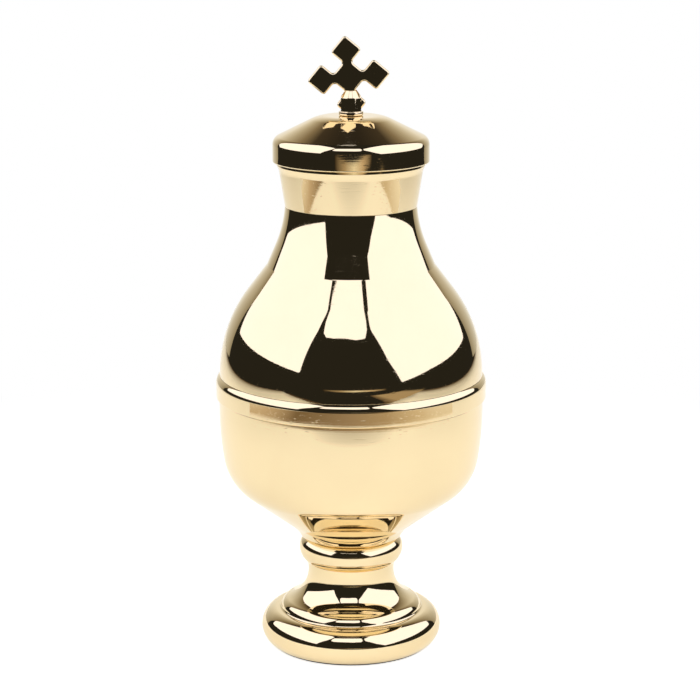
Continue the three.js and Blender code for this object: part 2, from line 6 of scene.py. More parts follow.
import bmesh
import bpy
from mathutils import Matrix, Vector


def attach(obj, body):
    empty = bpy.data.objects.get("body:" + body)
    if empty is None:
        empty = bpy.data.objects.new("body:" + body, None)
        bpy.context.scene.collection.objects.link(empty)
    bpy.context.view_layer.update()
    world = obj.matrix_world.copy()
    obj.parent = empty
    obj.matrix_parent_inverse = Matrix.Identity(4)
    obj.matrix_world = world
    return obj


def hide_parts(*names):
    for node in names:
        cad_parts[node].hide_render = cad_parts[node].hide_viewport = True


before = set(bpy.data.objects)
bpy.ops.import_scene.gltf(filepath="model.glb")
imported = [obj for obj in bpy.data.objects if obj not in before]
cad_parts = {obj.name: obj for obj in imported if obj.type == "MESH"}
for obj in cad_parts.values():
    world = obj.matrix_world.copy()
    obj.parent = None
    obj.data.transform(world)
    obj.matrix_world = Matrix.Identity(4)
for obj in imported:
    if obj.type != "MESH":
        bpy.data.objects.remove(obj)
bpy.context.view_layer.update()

MM = 0.001
TINY = 1e-6

# Fineness of the turned pieces: facets round the axis
FACETS = 192
SMALL_FACETS = 96
BOLT_FACETS = 64

# Fineness of the outlines: degrees between two points of an arc
SIDE_TURN = 0.75
FINE_TURN = 1.5
TURN = 2.5
CREASE_TURN = 3
MOUTH_TURN = 6
CROSS_TURN = 9
COARSE_TURN = 10
EDGE_TURN = 15
SOFT_TURN = 22.5

# Bends above which an edge is shaded as sharp, in degrees
SHARP = 32
SHARP_NUT = 20
SHARP_CROSS = 40

# The most that a fillet takes of the sides beside it, and a limit that keeps a moved corner from running away
FILLET_SHARE = 0.95
LEAST_MITRE = 0.3

# Sizes of the part's source, in millimetres: sheet and gaps
SHEET = 1.2
JOINT_GAP = 0.1
SOLDER_GAP = 0.15
SLIP = 0.3

# Felt ring and foot
FELT_THICKNESS = 0.8
FELT_INSET = 0.9
FELT_WIDTH = 7.5
FOOT_RADIUS = 34.15
FOOT_ROLL = 7.05
FOOT_ROLL_HEIGHT = 6.35
FOOT_ROLL_ANGLE = 78
FOOT_CREASE = 1
LEDGE_RADIUS = 26.8
LEDGE_ROLL = 4.3
LEDGE_RISE = 6.55
LEDGE_ANGLE = 20
COVE_RADIUS = 12.1
WAIST_RADIUS = 16.35
STEM_LENGTH = 3.42
STEM_FLARE = 19
FOOT_WALL = 2.2
FOOT_TOP_THICKNESS = 1.6
FOOT_HOLLOW_SIDE = 7.6
FOOT_HOLLOW_ROOF = 6.8
FOOT_HOLLOW_DISH = 1

# Knop
KNOP_HEIGHT = 10.4
KNOP_RADIUS = 19.7
KNOP_MIDDLE = 5.6
KNOP_LOWER_CURVE = 7
KNOP_UPPER_CURVE = 5

# Bowl and bezel
BOWL_RADIUS = 49.4
BOWL_FOOT_RADIUS = 19.3
BOWL_CORNER_RUN = 1.65
BOWL_CORNER_RISE = 2.9
BOWL_FOOT_FILLET = 15
BOWL_BELLY_CURVE = 20
BOWL_SIDE_CURVE = 120
BOWL_SIDE_LEAN = 9
BOWL_WALL_HEIGHT = 5.2
BOWL_HEIGHT = 54.2
BEZEL_THICKNESS = 1.5
BEZEL_DEPTH = 6.4
BEZEL_RISE = 6.9

# Band, cover and neck ring
RIM_RING_PROUD = 1.4
RIM_RING_WALL = 5.4
RIM_RING_SHOULDER = 3.4
RIM_RING_EDGE = 0.4
RIM_RING_SHELF = 1.1
COVER_INSET = 0.3
COVER_CURVE = 52.7
NECK_CURVE = 49
NECK_RADIUS = 24.1
NECK_RISE = 76.8
NECK_CREASE_TURN = 6
NECK_CREASE = 1.2
MOUTH_FLARE = 3.2
MOUTH_RISE = 13.2
NECK_RING_HEIGHT = 3.2
NECK_RING_WIDTH = 4.65

# Lid, plate and seal
LID_OVERLAP = 2
LID_SKIRT = 8.5
LID_SHOULDER_CURVE = 3.5
LID_SLOPE = 26.5
LID_CROWN_RADIUS = 12
LID_CROWN_CURVE = 14
LID_PLATE = 1.2
SLEEVE_THICKNESS = 1
SLEEVE_LENGTH = 9
SEAL_THICKNESS = 1.2
SEAL_WIDTH = 5.6

# Finial post, stud and what holds it
POST_RADIUS = 4.1
POST_HEIGHT = 5.1
POST_CROWN = 2.6
POST_CROWN_RADIUS = 2.6
POST_FLANGE_RADIUS = 4.5
POST_FLANGE_HEIGHT = 1.4
STUD_RADIUS = 2
STUD_HOLE = 2.2
STUD_SPARE = 1
SPACER_RADIUS = 4
STUD_NUT_FLATS = 7
STUD_NUT_HEIGHT = 3.2
STUD_WASHER_RADIUS = 5
WASHER_THICKNESS = 0.8

# Cross
CROSS_SIDE = 21.6
CROSS_THICKNESS = 3
CROSS_NOTCH_WIDTH = 5.6
CROSS_NOTCH_DEPTH = 6
CROSS_NOTCH_FILLET = 1.4
CROSS_CORNER = 1.2
CROSS_EDGE_ROUND = 0.7
CROSS_CENTRE_RISE = 13.9
CROSS_PIVOT_RISE = 5.4
CROSS_LEAN = 5.8

# Jar and cork ring
GLASS = 2.6
JAR_SIDE_CLEARANCE = 1.6
JAR_BASE_RADIUS = 30
JAR_BASE_FILLET = 9
JAR_LOWER_SIDE = 22
JAR_LOWER_FILLET = 26
JAR_SHOULDER_RISE = 13.6
JAR_SHOULDER_FILLET = 30
JAR_NECK_LENGTH = 26.4
JAR_NECK_FILLET = 18
JAR_NECK_CLEARANCE = 0.8
CORK_WIDTH = 13
CORK_EDGE = 4.31
CORK_FLOOR_GAP = 3

# Tie bolt and what holds it
BOLT_RADIUS = 3
BOLT_HOLE = 3.3
BOLT_HEAD_RADIUS = 6
BOLT_HEAD_HEIGHT = 3
BOLT_HEAD_FILLET = 1.5
BOLT_SPARE = 2
BOLT_WASHER_RADIUS = 9
BOLT_NUT_FLATS = 10
BOLT_NUT_HEIGHT = 5
SPREADER_RADIUS = 12
SPREADER_THICKNESS = 1.5

# The pear as it is seen: a second faint crease above its belly, a tighter neck, and a collar that flares only
# under the lid's skirt. It stays within about a millimetre of the part's simpler curve.
PEAR_CREASE_RISE = 49.6
PEAR_CREASE = 1
SHOULDER_LEAN = 23
SEEN_NECK_CURVE = 44
SEEN_NECK_TURN = 4
SEEN_COLLAR_LEAN = 9
SEEN_COLLAR_LENGTH = 12.6
SEEN_FLARE_CURVE = 6
SEEN_FLARE_TURN = 24
SEEN_MOUTH_FILLET = 0.4

# Fillets, chamfers and threads that only the fine pieces have
SMALL_EDGE = 0.15
FELT_EDGE = 0.2
FOOT_ROOF_FILLET = 1
FOOT_INNER_FILLET = 1.5
FOOT_DISH_FILLET = 2
BOWL_RIM_EDGE = 0.4
BEZEL_EDGE = 0.4
CORK_ROUND = 0.5
JAR_LIP_SHARE = 0.45
COVER_RIM_EDGE = 0.12
NECK_RING_EDGE = 0.3
LID_RIM_EDGE = 0.45
LID_PLATE_EDGE = 0.25
SEAL_EDGE = 0.3
FLANGE_EDGE = 0.4
FLANGE_TOP_EDGE = 0.2
POST_EDGE = 0.5
POST_CROWN_EDGE = 0.4
CROSS_EDGE_STEPS = 6
NUT_FACE_SHARE = 0.97
NUT_CHAMFER_LEAN = 30
NUT_BORE_CHAMFER = 0.3
THREAD_PITCH = 0.7
THREAD_DEPTH = 0.3


def point(r, z):
    return Vector((r, z))


def arc(centre, radius, start, end, turn=TURN):
    """Points of an arc in the (radius, height) plane, both ends included"""
    steps = max(1, math.ceil(abs(end - start) / turn))
    angles = [math.radians(start + (end - start) * i / steps) for i in range(steps + 1)]
    return [point(centre.x + radius * math.cos(a), centre.y + radius * math.sin(a)) for a in angles]


def rounded(a, b, c, radius, turn=TURN):
    """The arc that rounds the corner at b between a and c"""
    before, after = a - b, c - b
    half = before.angle(after) / 2
    reach = min(radius / math.tan(half), before.length * FILLET_SHARE, after.length * FILLET_SHARE)
    bend = reach * math.tan(half)
    centre = b + (before.normalized() + after.normalized()).normalized() * (bend / math.sin(half))
    first = b + before.normalized() * reach - centre
    last = b + after.normalized() * reach - centre
    start = math.degrees(math.atan2(first.y, first.x))
    swing = math.degrees(math.atan2(first.x * last.y - first.y * last.x, first.dot(last)))
    return arc(centre, bend, start, start + swing, turn)


def cornered(corners, turn=TURN):
    """An open path through corners of the form (radius, height) or (radius, height, fillet)"""
    places = [point(*corner[:2]) for corner in corners]
    path = []
    for i, corner in enumerate(corners):
        if len(corner) == 3:
            path += rounded(places[i - 1], places[i], places[i + 1], corner[2], turn)
        else:
            path.append(places[i])
    return path


def softened(corners, fillet=SMALL_EDGE):
    """A closed outline with each of its corners rounded"""
    places = [point(*corner) for corner in corners]
    path = []
    for i, place in enumerate(places):
        path += rounded(places[i - 1], place, places[(i + 1) % len(places)], fillet, SOFT_TURN)
    return path


def offset(path, distance):
    """The path moved sideways, to the left of its direction of travel"""
    moved = []
    for i, place in enumerate(path):
        arriving = (place - path[i - 1] if i else path[1] - place).normalized()
        leaving = (path[i + 1] - place if i < len(path) - 1 else place - path[i - 1]).normalized()
        side = point(-arriving.y - leaving.y, arriving.x + leaving.x).normalized()
        stretch = 1 / max(side.dot(point(-arriving.y, arriving.x)), LEAST_MITRE)
        moved.append(place + side * distance * stretch)
    return moved


def sheet_of(outside, edge_radius, first_open=False):
    """A closed outline of spun sheet on the left of its outer path, with level and rounded ends, and the
    number of the outer points"""
    inside = offset(outside, SHEET)
    for end in (0, -1):
        wall, edge = inside[end], outside[end]
        if abs(wall.x - edge.x) > abs(wall.y - edge.y):
            wall.y = edge.y
    top = rounded(outside[-2], outside[-1], inside[-1], edge_radius, EDGE_TURN)
    top += rounded(outside[-1], inside[-1], inside[-2], edge_radius, EDGE_TURN)
    inner = inside[1:-1][::-1]
    if first_open:
        return outside[:-1] + top + inner + [inside[0]], len(outside) - 1
    bottom = rounded(inside[1], inside[0], outside[0], edge_radius, EDGE_TURN)
    bottom += rounded(inside[0], outside[0], outside[1], edge_radius, EDGE_TURN)
    return bottom + outside[1:-1] + top + inner, len(bottom) + len(outside) - 2


pieces = []


def piece(name, mesh, body, nodes, materials):
    made = bpy.data.objects.new(name, mesh)
    pieces.append(made)
    bpy.context.scene.collection.objects.link(made)
    for material in materials:
        mesh.materials.append(material)
    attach(made, body)
    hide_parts(*nodes)
    return made


def turned(name, outline, body, replaced, materials, inner_from=None, facets=FACETS, sharp=SHARP):
    """A closed outline turned round the Z axis. The outline is a list, or a function of the angle. Its edges
    from inner_from on get the second material."""
    outline_at = outline if callable(outline) else lambda angle: outline
    first = outline_at(0)
    area = sum(a.x * b.y - b.x * a.y for a, b in zip(first, first[1:] + first[:1]))
    on_axis = [abs(p.x) < TINY for p in first]
    vertices, index = [], {}
    for k in range(facets):
        angle = 2 * math.pi * k / facets
        for i, p in enumerate(outline_at(angle)):
            if on_axis[i] and k:
                index[k, i] = index[0, i]
            else:
                index[k, i] = len(vertices)
                vertices.append((p.x * MM * math.cos(angle), p.x * MM * math.sin(angle), p.y * MM))
    faces, shares = [], []
    for k in range(facets):
        n = (k + 1) % facets
        for i in range(len(first)):
            j = (i + 1) % len(first)
            if on_axis[i] and on_axis[j]:
                continue
            corners = list(dict.fromkeys((index[k, i], index[n, i], index[n, j], index[k, j])))
            faces.append(corners if area > 0 else corners[::-1])
            shares.append(1 if inner_from is not None and i >= inner_from else 0)
    mesh = bpy.data.meshes.new(name)
    mesh.from_pydata(vertices, [], faces)
    mesh.polygons.foreach_set("material_index", shares)
    mesh.shade_smooth()
    mesh.set_sharp_from_angle(angle=math.radians(sharp))
    return piece(name, mesh, body, [replaced], materials)


# Node helpers for the materials
def new_material(name):
    material = bpy.data.materials.new(name)
    material.use_nodes = True
    tree = material.node_tree
    return material, tree, tree.nodes["Principled BSDF"]


def node(tree, kind, **settings):
    made = tree.nodes.new(kind)
    for key, value in settings.items():
        setattr(made, key, value)
    return made


def math_node(tree, operation, first, second=None, third=None):
    made = node(tree, "ShaderNodeMath", operation=operation)
    for socket, value in zip(made.inputs, (first, second, third)):
        if value is None:
            continue
        if isinstance(value, (int, float)):
            socket.default_value = value
        else:
            tree.links.new(value, socket)
    return made.outputs[0]


def noise(tree, vector, scale, detail=3.0, roughness=0.55, distortion=0.0):
    made = node(tree, "ShaderNodeTexNoise")
    tree.links.new(vector, made.inputs["Vector"])
    made.inputs["Scale"].default_value = scale
    made.inputs["Detail"].default_value = detail
    made.inputs["Roughness"].default_value = roughness
    made.inputs["Distortion"].default_value = distortion
    return made.outputs["Fac"]


def fitted(tree, value, low, high, to_low, to_high, kind="LINEAR"):
    made = node(tree, "ShaderNodeMapRange", interpolation_type=kind)
    tree.links.new(value, made.inputs["Value"])
    for socket, number in zip(("From Min", "From Max", "To Min", "To Max"), (low, high, to_low, to_high)):
        made.inputs[socket].default_value = number
    return made.outputs["Result"]


def blend_colours(tree, value, first, second):
    made = node(tree, "ShaderNodeMix", data_type="RGBA")
    tree.links.new(value, made.inputs["Factor"])
    made.inputs["A"].default_value = (*first, 1)
    made.inputs["B"].default_value = (*second, 1)
    return made.outputs["Result"]


def bump(tree, height, distance, strength=1.0, below=None):
    made = node(tree, "ShaderNodeBump")
    tree.links.new(height, made.inputs["Height"])
    made.inputs["Distance"].default_value = distance
    made.inputs["Strength"].default_value = strength
    if below is not None:
        tree.links.new(below, made.inputs["Normal"])
    return made.outputs["Normal"]


# Marks of the polish: the scales of their noise, and how much they add to the roughness
SMUDGE_SCALE = 55
WAVE_SCALE = 45
LINE_SCALE = 2600
ANGLE_SHARE = 0.0004
HAIR_TURN = (0.7, 0.4, 1.1)
HAIR_SCALE = (60, 1400, 1400)
HAIR_LIMITS = (0.66, 0.74)
HAIR_ROUGHNESS = 0.05
LINE_ROUGHNESS = 0.4


def turning_coordinates(tree):
    """Coordinates in which a turning line is one spot: distance from the axis, height, and a little of the
    angle"""
    place = node(tree, "ShaderNodeTexCoord").outputs["Object"]
    apart = node(tree, "ShaderNodeSeparateXYZ")
    tree.links.new(place, apart.inputs[0])
    x, y, z = apart.outputs
    squares = math_node(tree, "ADD", math_node(tree, "MULTIPLY", x, x), math_node(tree, "MULTIPLY", y, y))
    across = math_node(tree, "SQRT", squares)
    turn = math_node(tree, "MULTIPLY", math_node(tree, "ARCTAN2", y, x), ANGLE_SHARE)
    together = node(tree, "ShaderNodeCombineXYZ")
    for source, socket in zip((across, z, turn), together.inputs):
        tree.links.new(source, socket)
    return place, together.outputs[0]


def metal(name, colours, roughness, line_depth, wave_depth, scratch_depth):
    """Turned and polished metal: faint turning lines, slow waves of the sheet, hairline scratches and
    smudges"""
    material, tree, shader = new_material(name)
    place, rings = turning_coordinates(tree)
    smudge = noise(tree, place, SMUDGE_SCALE, detail=4, distortion=0.6)
    lines = noise(tree, rings, LINE_SCALE, detail=2)
    stretched = node(tree, "ShaderNodeMapping")
    tree.links.new(place, stretched.inputs["Vector"])
    stretched.inputs["Rotation"].default_value = HAIR_TURN
    stretched.inputs["Scale"].default_value = HAIR_SCALE
    scratch = fitted(tree, noise(tree, stretched.outputs[0], 1, detail=1), *HAIR_LIMITS, 0, 1)
    tint = blend_colours(tree, fitted(tree, smudge, 0.3, 0.7, 0, 1), *colours)
    tree.links.new(tint, shader.inputs["Base Color"])
    level = fitted(tree, smudge, 0.35, 0.75, *roughness)
    level = math_node(tree, "ADD", level, fitted(tree, lines, 0.3, 0.7, 0, roughness[0] * LINE_ROUGHNESS))
    level = math_node(tree, "MULTIPLY_ADD", scratch, HAIR_ROUGHNESS, level)
    tree.links.new(level, shader.inputs["Roughness"])
    shader.inputs["Metallic"].default_value = 1
    waves = bump(tree, noise(tree, place, WAVE_SCALE, detail=1), wave_depth)
    turning = bump(tree, lines, line_depth, below=waves)
    tree.links.new(bump(tree, scratch, -scratch_depth, below=turning), shader.inputs["Normal"])
    return material


def make_glass():
    material, tree, shader = new_material("clear_glass")
    place = node(tree, "ShaderNodeTexCoord").outputs["Object"]
    thick = noise(tree, place, 35, detail=2)
    tree.links.new(blend_colours(tree, thick, (0.90, 0.96, 0.945), (0.955, 0.985, 0.975)),
                   shader.inputs["Base Color"])
    tree.links.new(fitted(tree, noise(tree, place, 160), 0.3, 0.8, 0.01, 0.035), shader.inputs["Roughness"])
    tree.links.new(bump(tree, thick, 0.00008), shader.inputs["Normal"])
    shader.inputs["IOR"].default_value = 1.5
    shader.inputs["Transmission Weight"].default_value = 1
    return material


def make_silicone():
    material, tree, shader = new_material("pale_silicone")
    place = node(tree, "ShaderNodeTexCoord").outputs["Object"]
    grain = noise(tree, place, 900, detail=4)
    cloud = noise(tree, place, 90)
    tint = blend_colours(tree, cloud, (0.78, 0.765, 0.70), (0.85, 0.84, 0.79))
    tree.links.new(tint, shader.inputs["Base Color"])
    tree.links.new(fitted(tree, grain, 0.2, 0.8, 0.42, 0.6), shader.inputs["Roughness"])
    tree.links.new(bump(tree, grain, 0.00004), shader.inputs["Normal"])
    shader.inputs["Subsurface Weight"].default_value = 0.15
    shader.inputs["Subsurface Radius"].default_value = (0.003, 0.0025, 0.002)
    return material


def make_cork():
    material, tree, shader = new_material("pressed_cork")
    place = node(tree, "ShaderNodeTexCoord").outputs["Object"]
    crumb = node(tree, "ShaderNodeTexVoronoi")
    tree.links.new(place, crumb.inputs["Vector"])
    crumb.inputs["Scale"].default_value = 700
    grain = noise(tree, place, 1500, detail=5, roughness=0.7)
    base = blend_colours(tree, noise(tree, place, 240, detail=4), (0.42, 0.25, 0.12), (0.66, 0.45, 0.25))
    dark = fitted(tree, noise(tree, place, 420, detail=2), 0.62, 0.70, 0, 0.75)
    mixed = node(tree, "ShaderNodeMix", data_type="RGBA")
    tree.links.new(dark, mixed.inputs["Factor"])
    tree.links.new(base, mixed.inputs["A"])
    mixed.inputs["B"].default_value = (0.10, 0.05, 0.025, 1)
    tree.links.new(mixed.outputs["Result"], shader.inputs["Base Color"])
    tree.links.new(fitted(tree, grain, 0.2, 0.8, 0.75, 0.95), shader.inputs["Roughness"])
    height = math_node(tree, "ADD", math_node(tree, "MULTIPLY", crumb.outputs["Distance"], 0.8), grain)
    tree.links.new(bump(tree, height, 0.0003), shader.inputs["Normal"])
    return material


def make_felt():
    material, tree, shader = new_material("black_felt")
    place = node(tree, "ShaderNodeTexCoord").outputs["Object"]
    wisps = noise(tree, place, 1800, detail=6, roughness=0.75, distortion=1.5)
    clumps = noise(tree, place, 350, detail=3)
    tree.links.new(blend_colours(tree, wisps, (0.012, 0.011, 0.011), (0.06, 0.056, 0.053)),
                   shader.inputs["Base Color"])
    tree.links.new(fitted(tree, clumps, 0.2, 0.8, 0.85, 1), shader.inputs["Roughness"])
    tree.links.new(bump(tree, math_node(tree, "ADD", wisps, clumps), 0.0004), shader.inputs["Normal"])
    shader.inputs["Sheen Weight"].default_value = 0.35
    shader.inputs["Sheen Roughness"].default_value = 0.5
    shader.inputs["Sheen Tint"].default_value = (0.5, 0.48, 0.46, 1)
    return material


BRIGHT_GOLD = ((0.935, 0.765, 0.475), (0.91, 0.745, 0.46))
DULL_GOLD = ((0.90, 0.73, 0.44), (0.84, 0.67, 0.39))
STEEL_GREYS = ((0.60, 0.60, 0.61), (0.52, 0.52, 0.53))
gilt = metal("mirror_gilding", BRIGHT_GOLD, roughness=(0.02, 0.045), line_depth=0.000001, wave_depth=0.000014,
             scratch_depth=0.0000015)
gilt_inside = metal("satin_gilding", DULL_GOLD, roughness=(0.16, 0.26), line_depth=0.000006,
                    wave_depth=0.00002, scratch_depth=0.00001)
steel = metal("turned_steel", STEEL_GREYS, roughness=(0.24, 0.36), line_depth=0.000015, wave_depth=0.00001,
              scratch_depth=0.00001)
glass = make_glass()
silicone = make_silicone()
cork = make_cork()
felt = make_felt()

# Heights and radii that follow from the sizes, as in the part's source
ledge_height = FOOT_ROLL_HEIGHT + LEDGE_RISE
cove_reach = WAIST_RADIUS + COVE_RADIUS - (LEDGE_RADIUS - LEDGE_ROLL)
waist = ledge_height + math.sqrt((COVE_RADIUS + LEDGE_ROLL) ** 2 - cove_reach**2)
foot_top = waist + STEM_LENGTH
knop_bottom = foot_top + JOINT_GAP
knop_top = knop_bottom + KNOP_HEIGHT
bowl_bottom = knop_top + JOINT_GAP
bowl_floor = bowl_bottom + SHEET
seam = bowl_bottom + BOWL_HEIGHT
bezel_top = seam + BEZEL_RISE
neck_height = seam + NECK_RISE
mouth_height = neck_height + MOUTH_RISE
cover_radius = BOWL_RADIUS - COVER_INSET
ring_radius = cover_radius + RIM_RING_PROUD
shoulder_swing = math.degrees(math.acos((RIM_RING_SHOULDER - RIM_RING_PROUD) / RIM_RING_SHOULDER))
ring_wall_top = seam + RIM_RING_WALL
ring_top = ring_wall_top + RIM_RING_SHOULDER * math.sin(math.radians(shoulder_swing))
cover_bottom = ring_top + JOINT_GAP
bezel_radius = BOWL_RADIUS - SHEET - SOLDER_GAP
bezel_inside = bezel_radius - BEZEL_THICKNESS
mouth_radius = NECK_RADIUS + MOUTH_FLARE
mouth_inside = mouth_radius - SHEET
neck_bore = mouth_inside - SOLDER_GAP - NECK_RING_WIDTH
skirt_inside = mouth_radius + SLIP
skirt_radius = skirt_inside + SHEET
sleeve_radius = neck_bore - SLIP
sleeve_inside = sleeve_radius - SLEEVE_THICKNESS
jar_neck_radius = sleeve_inside - JAR_NECK_CLEARANCE
jar_radius = bezel_inside - JAR_SIDE_CLEARANCE
plate_bottom = mouth_height + JOINT_GAP
plate_top = plate_bottom + LID_PLATE
seal_bottom = plate_bottom - JOINT_GAP - SEAL_THICKNESS
jar_top = seal_bottom - JOINT_GAP
skirt_bottom = mouth_height - LID_OVERLAP
crown = skirt_bottom + LID_SKIRT + (skirt_radius - LID_CROWN_RADIUS) * math.tan(math.radians(LID_SLOPE))
flange_bottom = crown + JOINT_GAP
flange_top = flange_bottom + POST_FLANGE_HEIGHT
post_shoulder = flange_top + POST_HEIGHT
washer_top = plate_bottom - JOINT_GAP
nut_top = washer_top - WASHER_THICKNESS - JOINT_GAP
bolt_washer_top = bowl_floor + JOINT_GAP + WASHER_THICKNESS
spreader_top = foot_top - FOOT_TOP_THICKNESS - JOINT_GAP
bolt_nut_top = spreader_top - SPREADER_THICKNESS - JOINT_GAP


def foot_outline():
    roll = point(FOOT_RADIUS - FOOT_ROLL, FOOT_ROLL_HEIGHT)
    crease = point(LEDGE_RADIUS, FOOT_ROLL_HEIGHT + FOOT_ROLL)
    ledge = point(LEDGE_RADIUS - LEDGE_ROLL, ledge_height)
    cove = point(WAIST_RADIUS + COVE_RADIUS, waist)
    flare = point(WAIST_RADIUS + STEM_FLARE, waist)
    start = math.degrees(math.asin((FELT_THICKNESS - roll.y) / FOOT_ROLL))
    meeting = math.degrees(math.atan2(cove.y - ledge.y, cove.x - ledge.x))
    flare_end = math.degrees(math.asin(STEM_LENGTH / STEM_FLARE))
    outside = arc(roll, FOOT_ROLL, start, FOOT_ROLL_ANGLE)
    ledge_arc = arc(ledge, LEDGE_ROLL, LEDGE_ANGLE, meeting)
    outside += rounded(outside[-1], crease, ledge_arc[0], FOOT_CREASE, COARSE_TURN)
    outside += ledge_arc
    outside += arc(cove, COVE_RADIUS, 180 + meeting, 180)[1:]
    outside += arc(flare, STEM_FLARE, 180, 180 - flare_end)[1:]
    inner = WAIST_RADIUS - FOOT_WALL
    roof = foot_top - FOOT_TOP_THICKNESS
    dish = ledge_height + LEDGE_ROLL - FOOT_WALL
    side = FOOT_RADIUS - FOOT_HOLLOW_SIDE
    hollow = cornered(
        [
            (BOLT_HOLE, foot_top),
            (BOLT_HOLE, roof),
            (inner, roof, FOOT_ROOF_FILLET),
            (inner, dish + FOOT_HOLLOW_DISH, FOOT_INNER_FILLET),
            (inner + FOOT_HOLLOW_ROOF, dish, FOOT_DISH_FILLET),
            (side, FOOT_ROLL_HEIGHT, FOOT_DISH_FILLET),
            (side, FELT_THICKNESS),
        ],
        COARSE_TURN,
    )
    return outside + hollow, len(outside)


def knop_outline():
    widest = knop_bottom + KNOP_MIDDLE
    low = -math.degrees(math.asin(KNOP_MIDDLE / KNOP_LOWER_CURVE))
    high = math.degrees(math.asin((KNOP_HEIGHT - KNOP_MIDDLE) / KNOP_UPPER_CURVE))
    barrel = arc(point(KNOP_RADIUS - KNOP_LOWER_CURVE, widest), KNOP_LOWER_CURVE, low, 0)
    barrel += arc(point(KNOP_RADIUS - KNOP_UPPER_CURVE, widest), KNOP_UPPER_CURVE, 0, high)[1:]
    return [point(BOLT_HOLE, knop_bottom), *barrel, point(BOLT_HOLE, knop_top)]


apart = BOWL_SIDE_CURVE - BOWL_BELLY_CURVE
belly_centre = point(
    BOWL_RADIUS - BOWL_SIDE_CURVE + apart * math.cos(math.radians(BOWL_SIDE_LEAN)),
    seam - BOWL_WALL_HEIGHT - apart * math.sin(math.radians(BOWL_SIDE_LEAN)),
)
bowl_corner = point(BOWL_FOOT_RADIUS + BOWL_CORNER_RUN, bowl_bottom + BOWL_CORNER_RISE)
to_belly = belly_centre - bowl_corner
bowl_slope = math.degrees(math.atan2(to_belly.y, to_belly.x) - math.asin(BOWL_BELLY_CURVE / to_belly.length))


def bowl_inside(r):
    above = (SHEET + SOLDER_GAP) / math.cos(math.radians(bowl_slope))
    return bowl_corner.y + (r - bowl_corner.x) * math.tan(math.radians(bowl_slope)) + above


cork_top = bowl_inside(JAR_BASE_RADIUS) + CORK_EDGE
jar_bottom = cork_top + JOINT_GAP


def bowl_path():
    side = point(BOWL_RADIUS - BOWL_SIDE_CURVE, seam - BOWL_WALL_HEIGHT)
    belly_arc = arc(belly_centre, BOWL_BELLY_CURVE, bowl_slope - 90, -BOWL_SIDE_LEAN)
    foot_edge = point(BOWL_FOOT_RADIUS, bowl_bottom)
    path = [point(BOLT_HOLE, bowl_bottom), point(BOWL_FOOT_RADIUS - SMALL_EDGE, bowl_bottom)]
    path += rounded(foot_edge, bowl_corner, belly_arc[0], BOWL_FOOT_FILLET)
    path += belly_arc
    path += arc(side, BOWL_SIDE_CURVE, -BOWL_SIDE_LEAN, 0, SIDE_TURN)[1:]
    path.append(point(BOWL_RADIUS, seam - JOINT_GAP))
    return path


def rim_ring_outline():
    edge = point(ring_radius - RIM_RING_EDGE, seam + RIM_RING_EDGE)
    shoulder = point(ring_radius - RIM_RING_SHOULDER, ring_wall_top)
    bore = bezel_radius + SLIP
    shelf = bezel_top + JOINT_GAP
    outside = arc(edge, RIM_RING_EDGE, -90, 0, EDGE_TURN)
    outside += arc(shoulder, RIM_RING_SHOULDER, 0, shoulder_swing)
    inside = [
        point(bore - RIM_RING_SHELF, ring_top),
        point(bore - RIM_RING_SHELF, shelf),
        point(bore, shelf),
        point(bore, seam),
    ]
    return outside + inside, len(outside)


def heading(degrees):
    return point(math.cos(math.radians(degrees)), math.sin(math.radians(degrees)))


def lean_out(degrees):
    return math.tan(math.radians(degrees))


def cover_path():
    belly = point(cover_radius - COVER_CURVE, cover_bottom)
    crease = point(NECK_RADIUS + NECK_CURVE, neck_height) - heading(NECK_CREASE_TURN) * NECK_CURVE
    neck = crease + heading(SEEN_NECK_TURN) * SEEN_NECK_CURVE
    neck_arc = arc(neck, SEEN_NECK_CURVE, 180 + SHOULDER_LEAN, 180 + SEEN_NECK_TURN, FINE_TURN)
    shoulder_rise = neck_arc[0].y - seam - PEAR_CREASE_RISE
    low_crease = neck_arc[0] + point(lean_out(SHOULDER_LEAN), -1) * shoulder_rise
    to_crease = low_crease - belly
    slope = math.degrees(math.atan2(to_crease.y, to_crease.x) - math.acos(COVER_CURVE / to_crease.length))
    belly_arc = arc(belly, COVER_CURVE, 0, slope, FINE_TURN)
    collar_top = crease + point(lean_out(SEEN_COLLAR_LEAN), 1) * SEEN_COLLAR_LENGTH
    flare = collar_top + heading(-SEEN_COLLAR_LEAN) * SEEN_FLARE_CURVE
    flare_arc = arc(flare, SEEN_FLARE_CURVE, 180 - SEEN_COLLAR_LEAN, 180 - SEEN_FLARE_TURN)
    end = flare_arc[-1]
    corner = point(mouth_radius, end.y + (mouth_radius - end.x) / lean_out(SEEN_FLARE_TURN))
    lip = point(mouth_radius, mouth_height)
    path = belly_arc + rounded(belly_arc[-1], low_crease, neck_arc[0], PEAR_CREASE, CREASE_TURN)
    path += neck_arc[:-1] + rounded(neck_arc[-2], crease, collar_top, NECK_CREASE, CREASE_TURN)
    path += flare_arc + rounded(end, corner, lip, SEEN_MOUTH_FILLET, MOUTH_TURN)
    return path + [lip]


def lid_path():
    return cornered(
        [
            (skirt_radius, skirt_bottom),
            (skirt_radius, skirt_bottom + LID_SKIRT, LID_SHOULDER_CURVE),
            (LID_CROWN_RADIUS, crown, LID_CROWN_CURVE),
            (STUD_HOLE, crown),
        ]
    )


def ring(inside, outside, bottom, top, fillet=SMALL_EDGE):
    return softened([(inside, bottom), (outside, bottom), (outside, top), (inside, top)], fillet)


